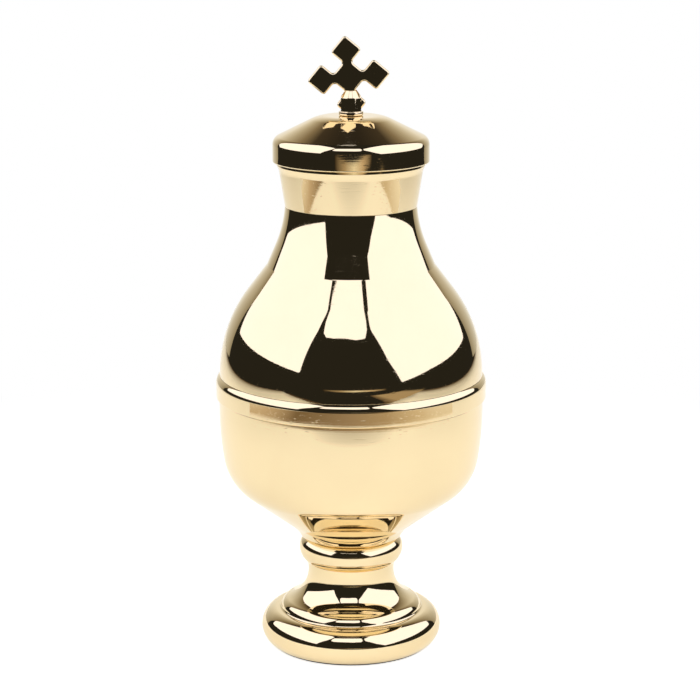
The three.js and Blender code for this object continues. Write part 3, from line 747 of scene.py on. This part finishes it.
def threads(radius, bottom, top):
    """The thread of a screw from its end up, as grooves"""
    path = [point(radius - THREAD_DEPTH, bottom), point(radius, bottom + THREAD_DEPTH)]
    count = int((top - bottom - THREAD_DEPTH) / THREAD_PITCH)
    for i in range(count):
        start = bottom + THREAD_DEPTH + i * THREAD_PITCH
        path.append(point(radius - THREAD_DEPTH, start + THREAD_PITCH / 2))
        path.append(point(radius, start + THREAD_PITCH))
    return path


def nut_outline(flats, bore, bottom, height):
    """A hexagonal nut's outline at each angle, with the curved chamfers that its corners get"""
    inner = flats / 2 * NUT_FACE_SHARE
    lean = lean_out(NUT_CHAMFER_LEAN)

    def at(angle):
        step = math.pi / 3
        within = (angle + step / 2) % step - step / 2
        side = flats / 2 / math.cos(within)
        drop = (side - inner) * lean
        return [
            point(bore, bottom + NUT_BORE_CHAMFER),
            point(bore + NUT_BORE_CHAMFER, bottom),
            point(inner, bottom),
            point(side, bottom + drop),
            point(side, bottom + height - drop),
            point(inner, bottom + height),
            point(bore + NUT_BORE_CHAMFER, bottom + height),
            point(bore, bottom + height - NUT_BORE_CHAMFER),
        ]

    return at


# Base: felt ring, foot, knop, bowl with its bezel, cork ring, and the bolt that holds them
rim_drop = FOOT_ROLL_HEIGHT - FELT_THICKNESS
felt_outside = FOOT_RADIUS - FOOT_ROLL + math.sqrt(FOOT_ROLL**2 - rim_drop**2) - FELT_INSET
felt_top = FELT_THICKNESS - JOINT_GAP / 2
turned("felt_pad", ring(felt_outside - FELT_WIDTH, felt_outside, 0, felt_top, FELT_EDGE), "base",
       "felt_ring", [felt])
outline, outer = foot_outline()
turned("turned_foot", outline, "base", "foot", [gilt, gilt_inside], outer)
turned("barrel_knop", knop_outline(), "base", "knop", [gilt])
outline, outer = sheet_of(bowl_path(), BOWL_RIM_EDGE, first_open=True)
turned("spun_bowl", outline, "base", "bowl", [gilt, gilt_inside], outer)
bezel = ring(bezel_inside, bezel_radius, seam - BEZEL_DEPTH, bezel_top, BEZEL_EDGE)
turned("seam_bezel", bezel, "base", "bowl_bezel", [gilt_inside])
cork_inside = JAR_BASE_RADIUS - CORK_WIDTH
cork_low = max(bowl_inside(max(cork_inside, BOWL_FOOT_RADIUS + SHEET)), bowl_floor + CORK_FLOOR_GAP)
cork_corners = [
    (cork_inside, cork_top),
    (cork_inside, cork_low),
    (JAR_BASE_RADIUS, bowl_inside(JAR_BASE_RADIUS)),
    (JAR_BASE_RADIUS, cork_top),
]
turned("cork_seat", softened(cork_corners, CORK_ROUND), "base", "cork_ring", [cork])
washer = ring(BOLT_HOLE, BOLT_WASHER_RADIUS, bowl_floor + JOINT_GAP, bolt_washer_top)
turned("bowl_bolt_washer", washer, "base", "bolt_washer", [steel])
bolt_seat = bolt_washer_top + JOINT_GAP
bolt_end = bolt_nut_top - BOLT_NUT_HEIGHT - BOLT_SPARE
bolt = [point(0, bolt_end)] + threads(BOLT_RADIUS, bolt_end, bolt_nut_top)
bolt += cornered(
    [
        (BOLT_RADIUS, bolt_nut_top),
        (BOLT_RADIUS, bolt_seat),
        (BOLT_HEAD_RADIUS, bolt_seat),
        (BOLT_HEAD_RADIUS, bolt_seat + BOLT_HEAD_HEIGHT, BOLT_HEAD_FILLET),
        (0, bolt_seat + BOLT_HEAD_HEIGHT),
    ],
    COARSE_TURN,
)
turned("through_bolt", bolt, "base", "tie_bolt", [steel], facets=BOLT_FACETS)
turned("foot_disc", ring(BOLT_HOLE, SPREADER_RADIUS, spreader_top - SPREADER_THICKNESS, spreader_top), "base",
       "foot_spreader", [steel])
bolt_nut = nut_outline(BOLT_NUT_FLATS, BOLT_HOLE, bolt_nut_top - BOLT_NUT_HEIGHT, BOLT_NUT_HEIGHT)
turned("foot_hex_nut", bolt_nut, "base", "foot_nut", [steel], facets=SMALL_FACETS, sharp=SHARP_NUT)

# Jar
jar_outside = cornered(
    [
        (0, jar_bottom),
        (JAR_BASE_RADIUS, jar_bottom, JAR_BASE_FILLET),
        (jar_radius, jar_bottom + JAR_LOWER_SIDE, JAR_LOWER_FILLET),
        (jar_radius, seam + JAR_SHOULDER_RISE, JAR_SHOULDER_FILLET),
        (jar_neck_radius, mouth_height - JAR_NECK_LENGTH, JAR_NECK_FILLET),
        (jar_neck_radius, jar_top),
    ]
)
jar_hollow = offset(jar_outside, GLASS)
jar_hollow[0].x = 0
jar_lip = rounded(jar_outside[-2], jar_outside[-1], jar_hollow[-1], JAR_LIP_SHARE * GLASS, EDGE_TURN)
jar_lip += rounded(jar_outside[-1], jar_hollow[-1], jar_hollow[-2], JAR_LIP_SHARE * GLASS, EDGE_TURN)
turned("glass_jar", jar_outside[:-1] + jar_lip + jar_hollow[-2::-1], "jar", "oil_jar", [glass])

# Cover: the band round its rim, the pear-shaped shell and the ring in its mouth
outline, outer = rim_ring_outline()
turned("rim_band", outline, "cover", "rim_ring", [gilt, gilt_inside], outer)
outline, outer = sheet_of(cover_path(), COVER_RIM_EDGE)
turned("pear_shell", outline, "cover", "cover", [gilt, gilt_inside], outer)
mouth_ring = ring(neck_bore, neck_bore + NECK_RING_WIDTH, mouth_height - NECK_RING_HEIGHT, mouth_height,
                  NECK_RING_EDGE)
turned("mouth_ring", mouth_ring, "cover", "neck_ring", [gilt_inside])

# Lid with its plate, seal and spacer, and what holds the finial
outline, outer = sheet_of(lid_path(), LID_RIM_EDGE)
turned("domed_lid", outline, "lid", "lid", [gilt, gilt_inside], outer)
plate_edge = skirt_inside - SOLDER_GAP
plate_corners = [
    (STUD_HOLE, plate_top),
    (STUD_HOLE, plate_bottom),
    (sleeve_inside, plate_bottom),
    (sleeve_inside, plate_bottom - SLEEVE_LENGTH),
    (sleeve_radius, plate_bottom - SLEEVE_LENGTH),
    (sleeve_radius, plate_bottom),
    (plate_edge, plate_bottom),
    (plate_edge, plate_top),
]
turned("sleeve_plate", softened(plate_corners, LID_PLATE_EDGE), "lid", "lid_plate", [gilt_inside])
seal_outside = sleeve_inside - JOINT_GAP
seal = ring(seal_outside - SEAL_WIDTH, seal_outside, seal_bottom, plate_bottom - JOINT_GAP, SEAL_EDGE)
turned("mouth_seal", seal, "lid", "lid_seal", [silicone])
turned("spacer_tube", ring(STUD_HOLE, SPACER_RADIUS, plate_top + JOINT_GAP, crown - SHEET - JOINT_GAP), "lid",
       "lid_spacer", [gilt_inside], facets=BOLT_FACETS)
turned("finial_washer", ring(STUD_HOLE, STUD_WASHER_RADIUS, washer_top - WASHER_THICKNESS, washer_top), "lid",
       "stud_washer", [steel], facets=SMALL_FACETS)
stud_nut = nut_outline(STUD_NUT_FLATS, STUD_HOLE, nut_top - STUD_NUT_HEIGHT, STUD_NUT_HEIGHT)
turned("finial_nut", stud_nut, "lid", "stud_nut", [steel], facets=SMALL_FACETS, sharp=SHARP_NUT)


def applied(made, modifier_kind, **settings):
    """Adds a modifier and keeps its result as the piece's own mesh"""
    modifier = made.modifiers.new(modifier_kind.lower(), modifier_kind)
    for key, value in settings.items():
        setattr(modifier, key, value)
    bpy.context.view_layer.update()
    shown = made.evaluated_get(bpy.context.evaluated_depsgraph_get())
    result = bpy.data.meshes.new_from_object(shown)
    made.modifiers.clear()
    old, made.data = made.data, result
    bpy.data.meshes.remove(old)
    return result


def finial_post():
    """The post, its flange and its stud, with the slot for the cross cut across it"""
    stud_end = nut_top - STUD_NUT_HEIGHT - STUD_SPARE
    outline = [point(0, stud_end)] + threads(STUD_RADIUS, stud_end, washer_top)
    outline += cornered(
        [
            (STUD_RADIUS, washer_top),
            (STUD_RADIUS, flange_bottom),
            (POST_FLANGE_RADIUS, flange_bottom, FLANGE_EDGE),
            (POST_FLANGE_RADIUS, flange_top, FLANGE_TOP_EDGE),
            (POST_RADIUS, flange_top, SMALL_EDGE),
            (POST_RADIUS, post_shoulder, POST_EDGE),
            (POST_CROWN_RADIUS, post_shoulder + POST_CROWN, POST_CROWN_EDGE),
            (0, post_shoulder + POST_CROWN),
        ],
        EDGE_TURN,
    )
    post = turned("slotted_post", outline, "lid", "finial_post", [gilt], facets=SMALL_FACETS)
    cutter_mesh = bpy.data.meshes.new("slot")
    shape = bmesh.new()
    bmesh.ops.create_cube(shape, size=1)
    shape.to_mesh(cutter_mesh)
    shape.free()
    cutter = bpy.data.objects.new("slot", cutter_mesh)
    bpy.context.scene.collection.objects.link(cutter)
    wide = CROSS_THICKNESS + 2 * SLIP
    tall = POST_HEIGHT + 2 * POST_CROWN
    cutter.scale = (4 * POST_RADIUS * MM, wide * MM, tall * MM)
    cutter.location = (0, 0, (flange_top + tall / 2) * MM)
    mesh = applied(post, "BOOLEAN", operation="DIFFERENCE", solver="EXACT", object=cutter)
    bpy.data.objects.remove(cutter)
    mesh.shade_smooth()
    mesh.set_sharp_from_angle(angle=math.radians(SHARP))


def cross_outline():
    """The cross's outline in its own plane: a square with a notch in the middle of each side"""
    half = CROSS_SIDE / 2
    lip = CROSS_NOTCH_WIDTH / 2
    floor = half - CROSS_NOTCH_DEPTH
    middle = (half + lip) / 2
    side = cornered(
        [
            (half, -middle),
            (half, -lip, CROSS_CORNER),
            (floor, -lip, CROSS_NOTCH_FILLET),
            (floor, lip, CROSS_NOTCH_FILLET),
            (half, lip, CROSS_CORNER),
            (half, half, CROSS_CORNER),
            (middle, half),
        ],
        CROSS_TURN,
    )[1:-1]
    quarters = [math.pi / 4 + math.pi / 2 * k for k in range(4)]
    return [
        point(p.x * math.cos(a) - p.y * math.sin(a), p.x * math.sin(a) + p.y * math.cos(a))
        for a in quarters
        for p in side
    ]


def cross():
    """A flat cross with softened rims, leaning a little to the left in the slot"""
    shape = bmesh.new()
    depth = CROSS_THICKNESS / 2
    face = shape.faces.new([shape.verts.new((p.x, -depth, p.y)) for p in cross_outline()])
    grown = bmesh.ops.extrude_face_region(shape, geom=[face])["geom"]
    moved = [v for v in grown if isinstance(v, bmesh.types.BMVert)]
    bmesh.ops.translate(shape, verts=moved, vec=(0, CROSS_THICKNESS, 0))
    bmesh.ops.recalc_face_normals(shape, faces=shape.faces)
    rims = [e for e in shape.edges if abs(e.verts[0].co.y - e.verts[1].co.y) < TINY]
    bmesh.ops.bevel(shape, geom=rims, offset=CROSS_EDGE_ROUND, segments=CROSS_EDGE_STEPS, profile=0.5,
                    affect="EDGES", clamp_overlap=False)
    lean = math.radians(CROSS_LEAN)
    pivot = flange_bottom + CROSS_PIVOT_RISE
    rise = CROSS_CENTRE_RISE - CROSS_PIVOT_RISE
    for v in shape.verts:
        x, z = v.co.x, v.co.z + rise
        v.co.x = x * math.cos(lean) - z * math.sin(lean)
        v.co.z = pivot + z * math.cos(lean) + x * math.sin(lean)
    cut = bmesh.ops.bisect_plane(shape, geom=shape.verts[:] + shape.edges[:] + shape.faces[:],
                                 plane_co=(0, 0, flange_top + SLIP), plane_no=(0, 0, 1), clear_inner=True)
    loop = [e for e in cut["geom_cut"] if isinstance(e, bmesh.types.BMEdge)]
    bmesh.ops.edgeloop_fill(shape, edges=loop)
    bmesh.ops.scale(shape, vec=(MM, MM, MM), verts=shape.verts)
    mesh = bpy.data.meshes.new("flat_cross")
    shape.to_mesh(mesh)
    shape.free()
    mesh.shade_smooth()
    mesh.set_sharp_from_angle(angle=math.radians(SHARP_CROSS))
    piece("flat_cross", mesh, "lid", ["cross"], [gilt])


finial_post()
cross()

# Normals weighted by area, so that the rounded edge beside a straight stretch doesn't tilt its shading
for made in pieces:
    applied(made, "WEIGHTED_NORMAL", keep_sharp=True)


# Studio: everything from here on is only lit surroundings, with sizes in metres
NEUTRAL = (1.0, 0.985, 0.96)
COOL = (0.80, 0.82, 1.0)
DARK_BROWN = (0.09, 0.06, 0.035)
TAN = (0.42, 0.32, 0.20)
DIM_BROWN = (0.12, 0.085, 0.05)
ROOM = (0.020, 0.019, 0.016)
LIGHT_STRENGTH = 1.6
LIGHT_AZIMUTH = 84.5
LIGHT_DISTANCE = 0.53
LIGHT_TOP = 1.8
LIGHT_TURN = 7.5
FRONT = -0.8
BACK = 0.9
BACKDROP_SIDE = 0.95
BACKDROP_TOP = 1.9
STRIP_SIDES = (-0.34, 0.45)
STRIP_HEIGHTS = (0.058, 0.0745)

# Table, the floor round its edge and the arc on it
TABLE_SIDE = 0.76
TABLE_FRONT = -0.425
TABLE_BACK = 0.898
TABLE_HEIGHT = -0.0002
TABLE_COLOUR = (0.8, 0.8, 0.79)
FLOOR_GAP = 0.002
FLOOR_HEIGHT = -FLOOR_GAP
FLOOR_BACK = TABLE_FRONT - FLOOR_GAP
FLOOR_MIDDLE = 0.25
EDGE_LEFT = -0.62
EDGE_FRONT = -0.47
TAN_RIGHT = 0.92
TAN_FRONT = -0.9
ARC_HEIGHT = 0.0002
ARC_RADII = (0.408, 0.47)
ARC_TURN = 90
ARC_STEP = 5

# How much the table is lifted towards white for what sees it, and where it fades
CAMERA_LIFT = 0.75
MIRROR_LIFT = 0.40
GLASS_LIFT = 0.6
TABLE_FADE = (0.16, 0.42)
TABLE_SIDE_FADE = (0.55, 0.75)
TABLE_FRONT_FADE = (TABLE_FRONT, -0.33)
FRONT_DIMMING = 0.5

# The photograph's camera: 13 degrees down, 0.82 m in front of the axis
CAMERA_PLACE = (0, -0.8219, 0.3031)
CAMERA_TILT = 13
CAMERA_SHIFT = -0.0015
SENSOR_WIDTH = 36
LENS = 116.1


def emission(name):
    material = bpy.data.materials.new(name)
    material.use_nodes = True
    tree = material.node_tree
    tree.nodes.clear()
    glow = node(tree, "ShaderNodeEmission")
    tree.links.new(glow.outputs[0], node(tree, "ShaderNodeOutputMaterial").inputs["Surface"])
    return material, tree, glow


def glowing(name, colour, strength, lit=None):
    """A plain light surface. Where lit is given, it is the colour of the light that falls on the table, and
    the first colour is only what the metal mirrors."""
    material, tree, glow = emission(name)
    if lit is None:
        glow.inputs["Color"].default_value = (*colour, 1)
    else:
        mirrored = node(tree, "ShaderNodeLightPath").outputs["Is Glossy Ray"]
        tree.links.new(blend_colours(tree, mirrored, lit, colour), glow.inputs["Color"])
    glow.inputs["Strength"].default_value = strength
    return material


def ramp(tree, value, stops):
    """A colour that follows a value through stops of the form (value, colour)"""
    low, high = stops[0][0], stops[-1][0]
    made = node(tree, "ShaderNodeValToRGB")
    marks = made.color_ramp.elements
    while len(marks) < len(stops):
        marks.new(0.5)
    for mark, (place, colour) in zip(marks, stops):
        mark.position = (place - low) / (high - low)
        mark.color = (*colour, 1)
    tree.links.new(fitted(tree, value, low, high, 0, 1), made.inputs["Fac"])
    return made.outputs["Color"]


def multiplied(tree, first, second):
    made = node(tree, "ShaderNodeMix", data_type="RGBA", blend_type="MULTIPLY")
    made.inputs["Factor"].default_value = 1
    tree.links.new(first, made.inputs["A"])
    tree.links.new(second, made.inputs["B"])
    return made.outputs["Result"]


def mixed_shaders(tree, share, first, second):
    made = node(tree, "ShaderNodeMixShader")
    for source, socket in zip((share, first, second), made.inputs):
        tree.links.new(source, socket)
    return made.outputs[0]


def graded(name, along, axis, across=None):
    """A light surface whose colour changes along one axis, and with the distance from the middle where across
    is given"""
    material, tree, glow = emission(name)
    apart = node(tree, "ShaderNodeSeparateXYZ")
    tree.links.new(node(tree, "ShaderNodeTexCoord").outputs["Object"], apart.inputs[0])
    colour = ramp(tree, apart.outputs[axis], along)
    if across:
        aside = math_node(tree, "ABSOLUTE", apart.outputs["X"])
        colour = multiplied(tree, colour, ramp(tree, aside, across))
    tree.links.new(colour, glow.inputs["Color"])
    return material


def panel(name, corners, material, seen_by_camera=False, shadow=True):
    mesh = bpy.data.meshes.new(name)
    mesh.from_pydata(corners, [], [list(range(len(corners)))])
    mesh.materials.append(material)
    made = bpy.data.objects.new(name, mesh)
    bpy.context.scene.collection.objects.link(made)
    made.visible_camera = seen_by_camera
    made.visible_shadow = shadow


def upright(left, right, low, high, y):
    """The corners of a rectangle across the view"""
    return [(left, y, low), (right, y, low), (right, y, high), (left, y, high)]


def lying(left, right, front, back, z):
    """The corners of a level rectangle"""
    return [(left, front, z), (right, front, z), (right, back, z), (left, back, z)]


def wall_panel(name, facing, corners, material):
    """A flat upright light that faces the axis from an azimuth, 0 at the front and positive to the right. Its
    corners are distances along the wall, positive away from the camera, heights, and fillets where they have
    one."""
    turn = math.radians(facing)
    out = Vector((math.sin(turn), -math.cos(turn), 0)) * LIGHT_DISTANCE
    along = Vector((math.cos(turn), math.sin(turn), 0)) * (1 if facing > 0 else -1)
    outline = cornered(corners, LIGHT_TURN)
    panel(name, [out + along * p.x + Vector((0, 0, p.y)) for p in outline], material)


# Large soft lights on the left, on the right and in front
left_corners = [
    (-0.52, LIGHT_TOP),
    (-0.60, 1.25, 0.6),
    (-0.585, 0.80, 0.8),
    (-0.455, 0.204, 0.03),
    (0.45, 0.203, 0.06),
    (0.60, 0.40, 0.1),
    (0.62, LIGHT_TOP),
]
right_corners = [
    (-0.88, LIGHT_TOP),
    (-1.02, 1.25, 0.6),
    (-0.67, 0.40, 0.5),
    (-0.475, 0.125, 0.03),
    (-0.13, 0.162, 0.4),
    (0.42, 0.183, 0.06),
    (0.60, 0.40, 0.1),
    (0.62, LIGHT_TOP),
]
front_corners = [
    (-0.535, LIGHT_TOP),
    (-0.50, 1.20),
    (-0.46, 0.90),
    (-0.39, 0.79, 0.05),
    (-0.27, 0.757),
    (-0.07, 0.737),
    (0.07, 0.712),
    (0.21, 0.745, 0.05),
    (0.26, 0.93),
    (0.285, 1.20),
    (0.32, LIGHT_TOP),
]
soft_light = glowing("soft_light", COOL, LIGHT_STRENGTH, NEUTRAL)
wall_panel("left_light", -LIGHT_AZIMUTH, left_corners, soft_light)
wall_panel("right_light", LIGHT_AZIMUTH, right_corners, soft_light)
panel("front_light", [(p.x, FRONT, p.y) for p in cornered(front_corners)],
      glowing("front_light", COOL, LIGHT_STRENGTH, NEUTRAL))

# Behind the object a backdrop that is white low down and in the middle, and brown towards its top and sides
upwards = [
    (0.0, (1.0, 1.0, 0.98)),
    (0.42, (0.96, 0.94, 0.90)),
    (0.75, (0.62, 0.57, 0.48)),
    (1.05, (0.33, 0.27, 0.19)),
    (1.35, (0.07, 0.055, 0.04)),
    (BACKDROP_TOP, (0.02, 0.017, 0.014)),
]
sideways = [
    (0.0, (1, 1, 1)),
    (0.24, (0.88, 0.88, 0.86)),
    (0.52, (0.60, 0.58, 0.53)),
    (BACKDROP_SIDE, (0.32, 0.29, 0.23)),
]
panel("backdrop", upright(-BACKDROP_SIDE, BACKDROP_SIDE, 0, BACKDROP_TOP, BACK),
      graded("backdrop", upwards, "Z", sideways), shadow=False)

# A small light high up behind, and a low tan strip in front for the lid's skirt
panel("top_light", [(-0.20, BACK, 1.91), (0.08, BACK, 1.91), (0.05, BACK, 2.15), (-0.17, BACK, 2.15)],
      glowing("top_light", COOL, LIGHT_STRENGTH, NEUTRAL), shadow=False)
strip_tones = [
    (STRIP_SIDES[0], (0.03, 0.02, 0.01)),
    (-0.12, TAN),
    (0.06, (0.85, 0.78, 0.62)),
    (0.24, (0.60, 0.46, 0.30)),
    (STRIP_SIDES[1], (0.05, 0.035, 0.02)),
]
panel("front_strip", upright(*STRIP_SIDES, *STRIP_HEIGHTS, FRONT), graded("front_strip", strip_tones, "X"),
      shadow=False)

# In front of the table a narrow brown edge, and a tan floor on the right
panel("table_edge", lying(EDGE_LEFT, FLOOR_MIDDLE, EDGE_FRONT, FLOOR_BACK, FLOOR_HEIGHT),
      glowing("table_edge", DARK_BROWN, 1), shadow=False)
tan_tones = [
    (FLOOR_MIDDLE, DARK_BROWN),
    (0.36, TAN),
    (0.75, (0.40, 0.31, 0.20)),
    (TAN_RIGHT, (0.10, 0.08, 0.05)),
]
panel("tan_floor", lying(FLOOR_MIDDLE, TAN_RIGHT, TAN_FRONT, FLOOR_BACK, FLOOR_HEIGHT),
      graded("tan_floor", tan_tones, "X"), shadow=False)

# Near the table's edge a brown arc for the band
arc_tones = [
    (-0.47, (0.85, 0.78, 0.66)),
    (-0.41, (0.58, 0.46, 0.33)),
    (-0.30, (0.20, 0.14, 0.08)),
    (0.0, (0.33, 0.25, 0.17)),
    (0.2, (0.44, 0.34, 0.22)),
    (0.36, (0.68, 0.57, 0.42)),
    (0.47, (0.95, 0.90, 0.80)),
]
near, far = (arc(point(0, 0), radius, -90 - ARC_TURN, -90 + ARC_TURN, ARC_STEP) for radius in ARC_RADII)
panel("brown_arc", [(p.x, p.y, ARC_HEIGHT) for p in near + far[::-1]], graded("brown_arc", arc_tones, "X"),
      shadow=False)


def make_table():
    """A white table that shows its shadows near the object and fades to plain white away from it. The metal
    and the glass see it lifted towards white, and the metal sees its sides and its front edge dimmed."""
    material, tree, white = emission("white_table")
    rays = node(tree, "ShaderNodeLightPath")
    looked_at, mirrored = rays.outputs["Is Camera Ray"], rays.outputs["Is Glossy Ray"]
    cloth = node(tree, "ShaderNodeBsdfDiffuse")
    cloth.inputs["Color"].default_value = (*TABLE_COLOUR, 1)
    lift = node(tree, "ShaderNodeEmission")
    level = math_node(tree, "MULTIPLY", looked_at, CAMERA_LIFT)
    level = math_node(tree, "MULTIPLY_ADD", mirrored, MIRROR_LIFT, level)
    level = math_node(tree, "MULTIPLY_ADD", rays.outputs["Is Transmission Ray"], GLASS_LIFT, level)
    tree.links.new(level, lift.inputs["Strength"])
    both = node(tree, "ShaderNodeAddShader")
    tree.links.new(cloth.outputs[0], both.inputs[0])
    tree.links.new(lift.outputs[0], both.inputs[1])
    place = node(tree, "ShaderNodeTexCoord").outputs["Object"]
    distance = node(tree, "ShaderNodeVectorMath", operation="LENGTH")
    tree.links.new(place, distance.inputs[0])
    away = fitted(tree, distance.outputs["Value"], *TABLE_FADE, 0, 1, "SMOOTHSTEP")
    away = math_node(tree, "MULTIPLY", away, looked_at)
    faded = mixed_shaders(tree, away, both.outputs[0], white.outputs[0])
    apart = node(tree, "ShaderNodeSeparateXYZ")
    tree.links.new(place, apart.inputs[0])
    aside = fitted(tree, math_node(tree, "ABSOLUTE", apart.outputs["X"]), *TABLE_SIDE_FADE, 0, 1)
    ahead = fitted(tree, apart.outputs["Y"], *TABLE_FRONT_FADE, FRONT_DIMMING, 0)
    dimming = math_node(tree, "MULTIPLY", math_node(tree, "MAXIMUM", aside, ahead), mirrored)
    dim = node(tree, "ShaderNodeEmission")
    dim.inputs["Color"].default_value = (*DIM_BROWN, 1)
    output = next(n for n in tree.nodes if n.bl_idname == "ShaderNodeOutputMaterial")
    tree.links.new(mixed_shaders(tree, dimming, faded, dim.outputs[0]), output.inputs["Surface"])
    return material


def make_world():
    """White where it is looked at, and a dark room in the metal and for the rest"""
    world = bpy.data.worlds.new("studio")
    bpy.context.scene.world = world
    world.use_nodes = True
    tree = world.node_tree
    tree.nodes.clear()
    rays = node(tree, "ShaderNodeLightPath")
    looked_at = math_node(tree, "MAXIMUM", rays.outputs["Is Camera Ray"], rays.outputs["Is Transmission Ray"])
    room = node(tree, "ShaderNodeBackground")
    room.inputs["Color"].default_value = (*ROOM, 1)
    white = node(tree, "ShaderNodeBackground")
    white.inputs["Color"].default_value = (1, 1, 1, 1)
    seen = mixed_shaders(tree, looked_at, room.outputs[0], white.outputs[0])
    tree.links.new(seen, node(tree, "ShaderNodeOutputWorld").inputs["Surface"])


def make_camera():
    lens = bpy.data.cameras.new("camera")
    lens.sensor_width = SENSOR_WIDTH
    lens.lens = LENS
    lens.shift_x = CAMERA_SHIFT
    camera = bpy.data.objects.new("camera", lens)
    bpy.context.scene.collection.objects.link(camera)
    camera.location = CAMERA_PLACE
    camera.rotation_euler = (math.radians(90 - CAMERA_TILT), 0, 0)
    bpy.context.scene.camera = camera


panel("table", lying(-TABLE_SIDE, TABLE_SIDE, TABLE_FRONT, TABLE_BACK, TABLE_HEIGHT), make_table(),
      seen_by_camera=True)
make_world()
make_camera()
bpy.context.scene.view_settings.view_transform = "Standard"
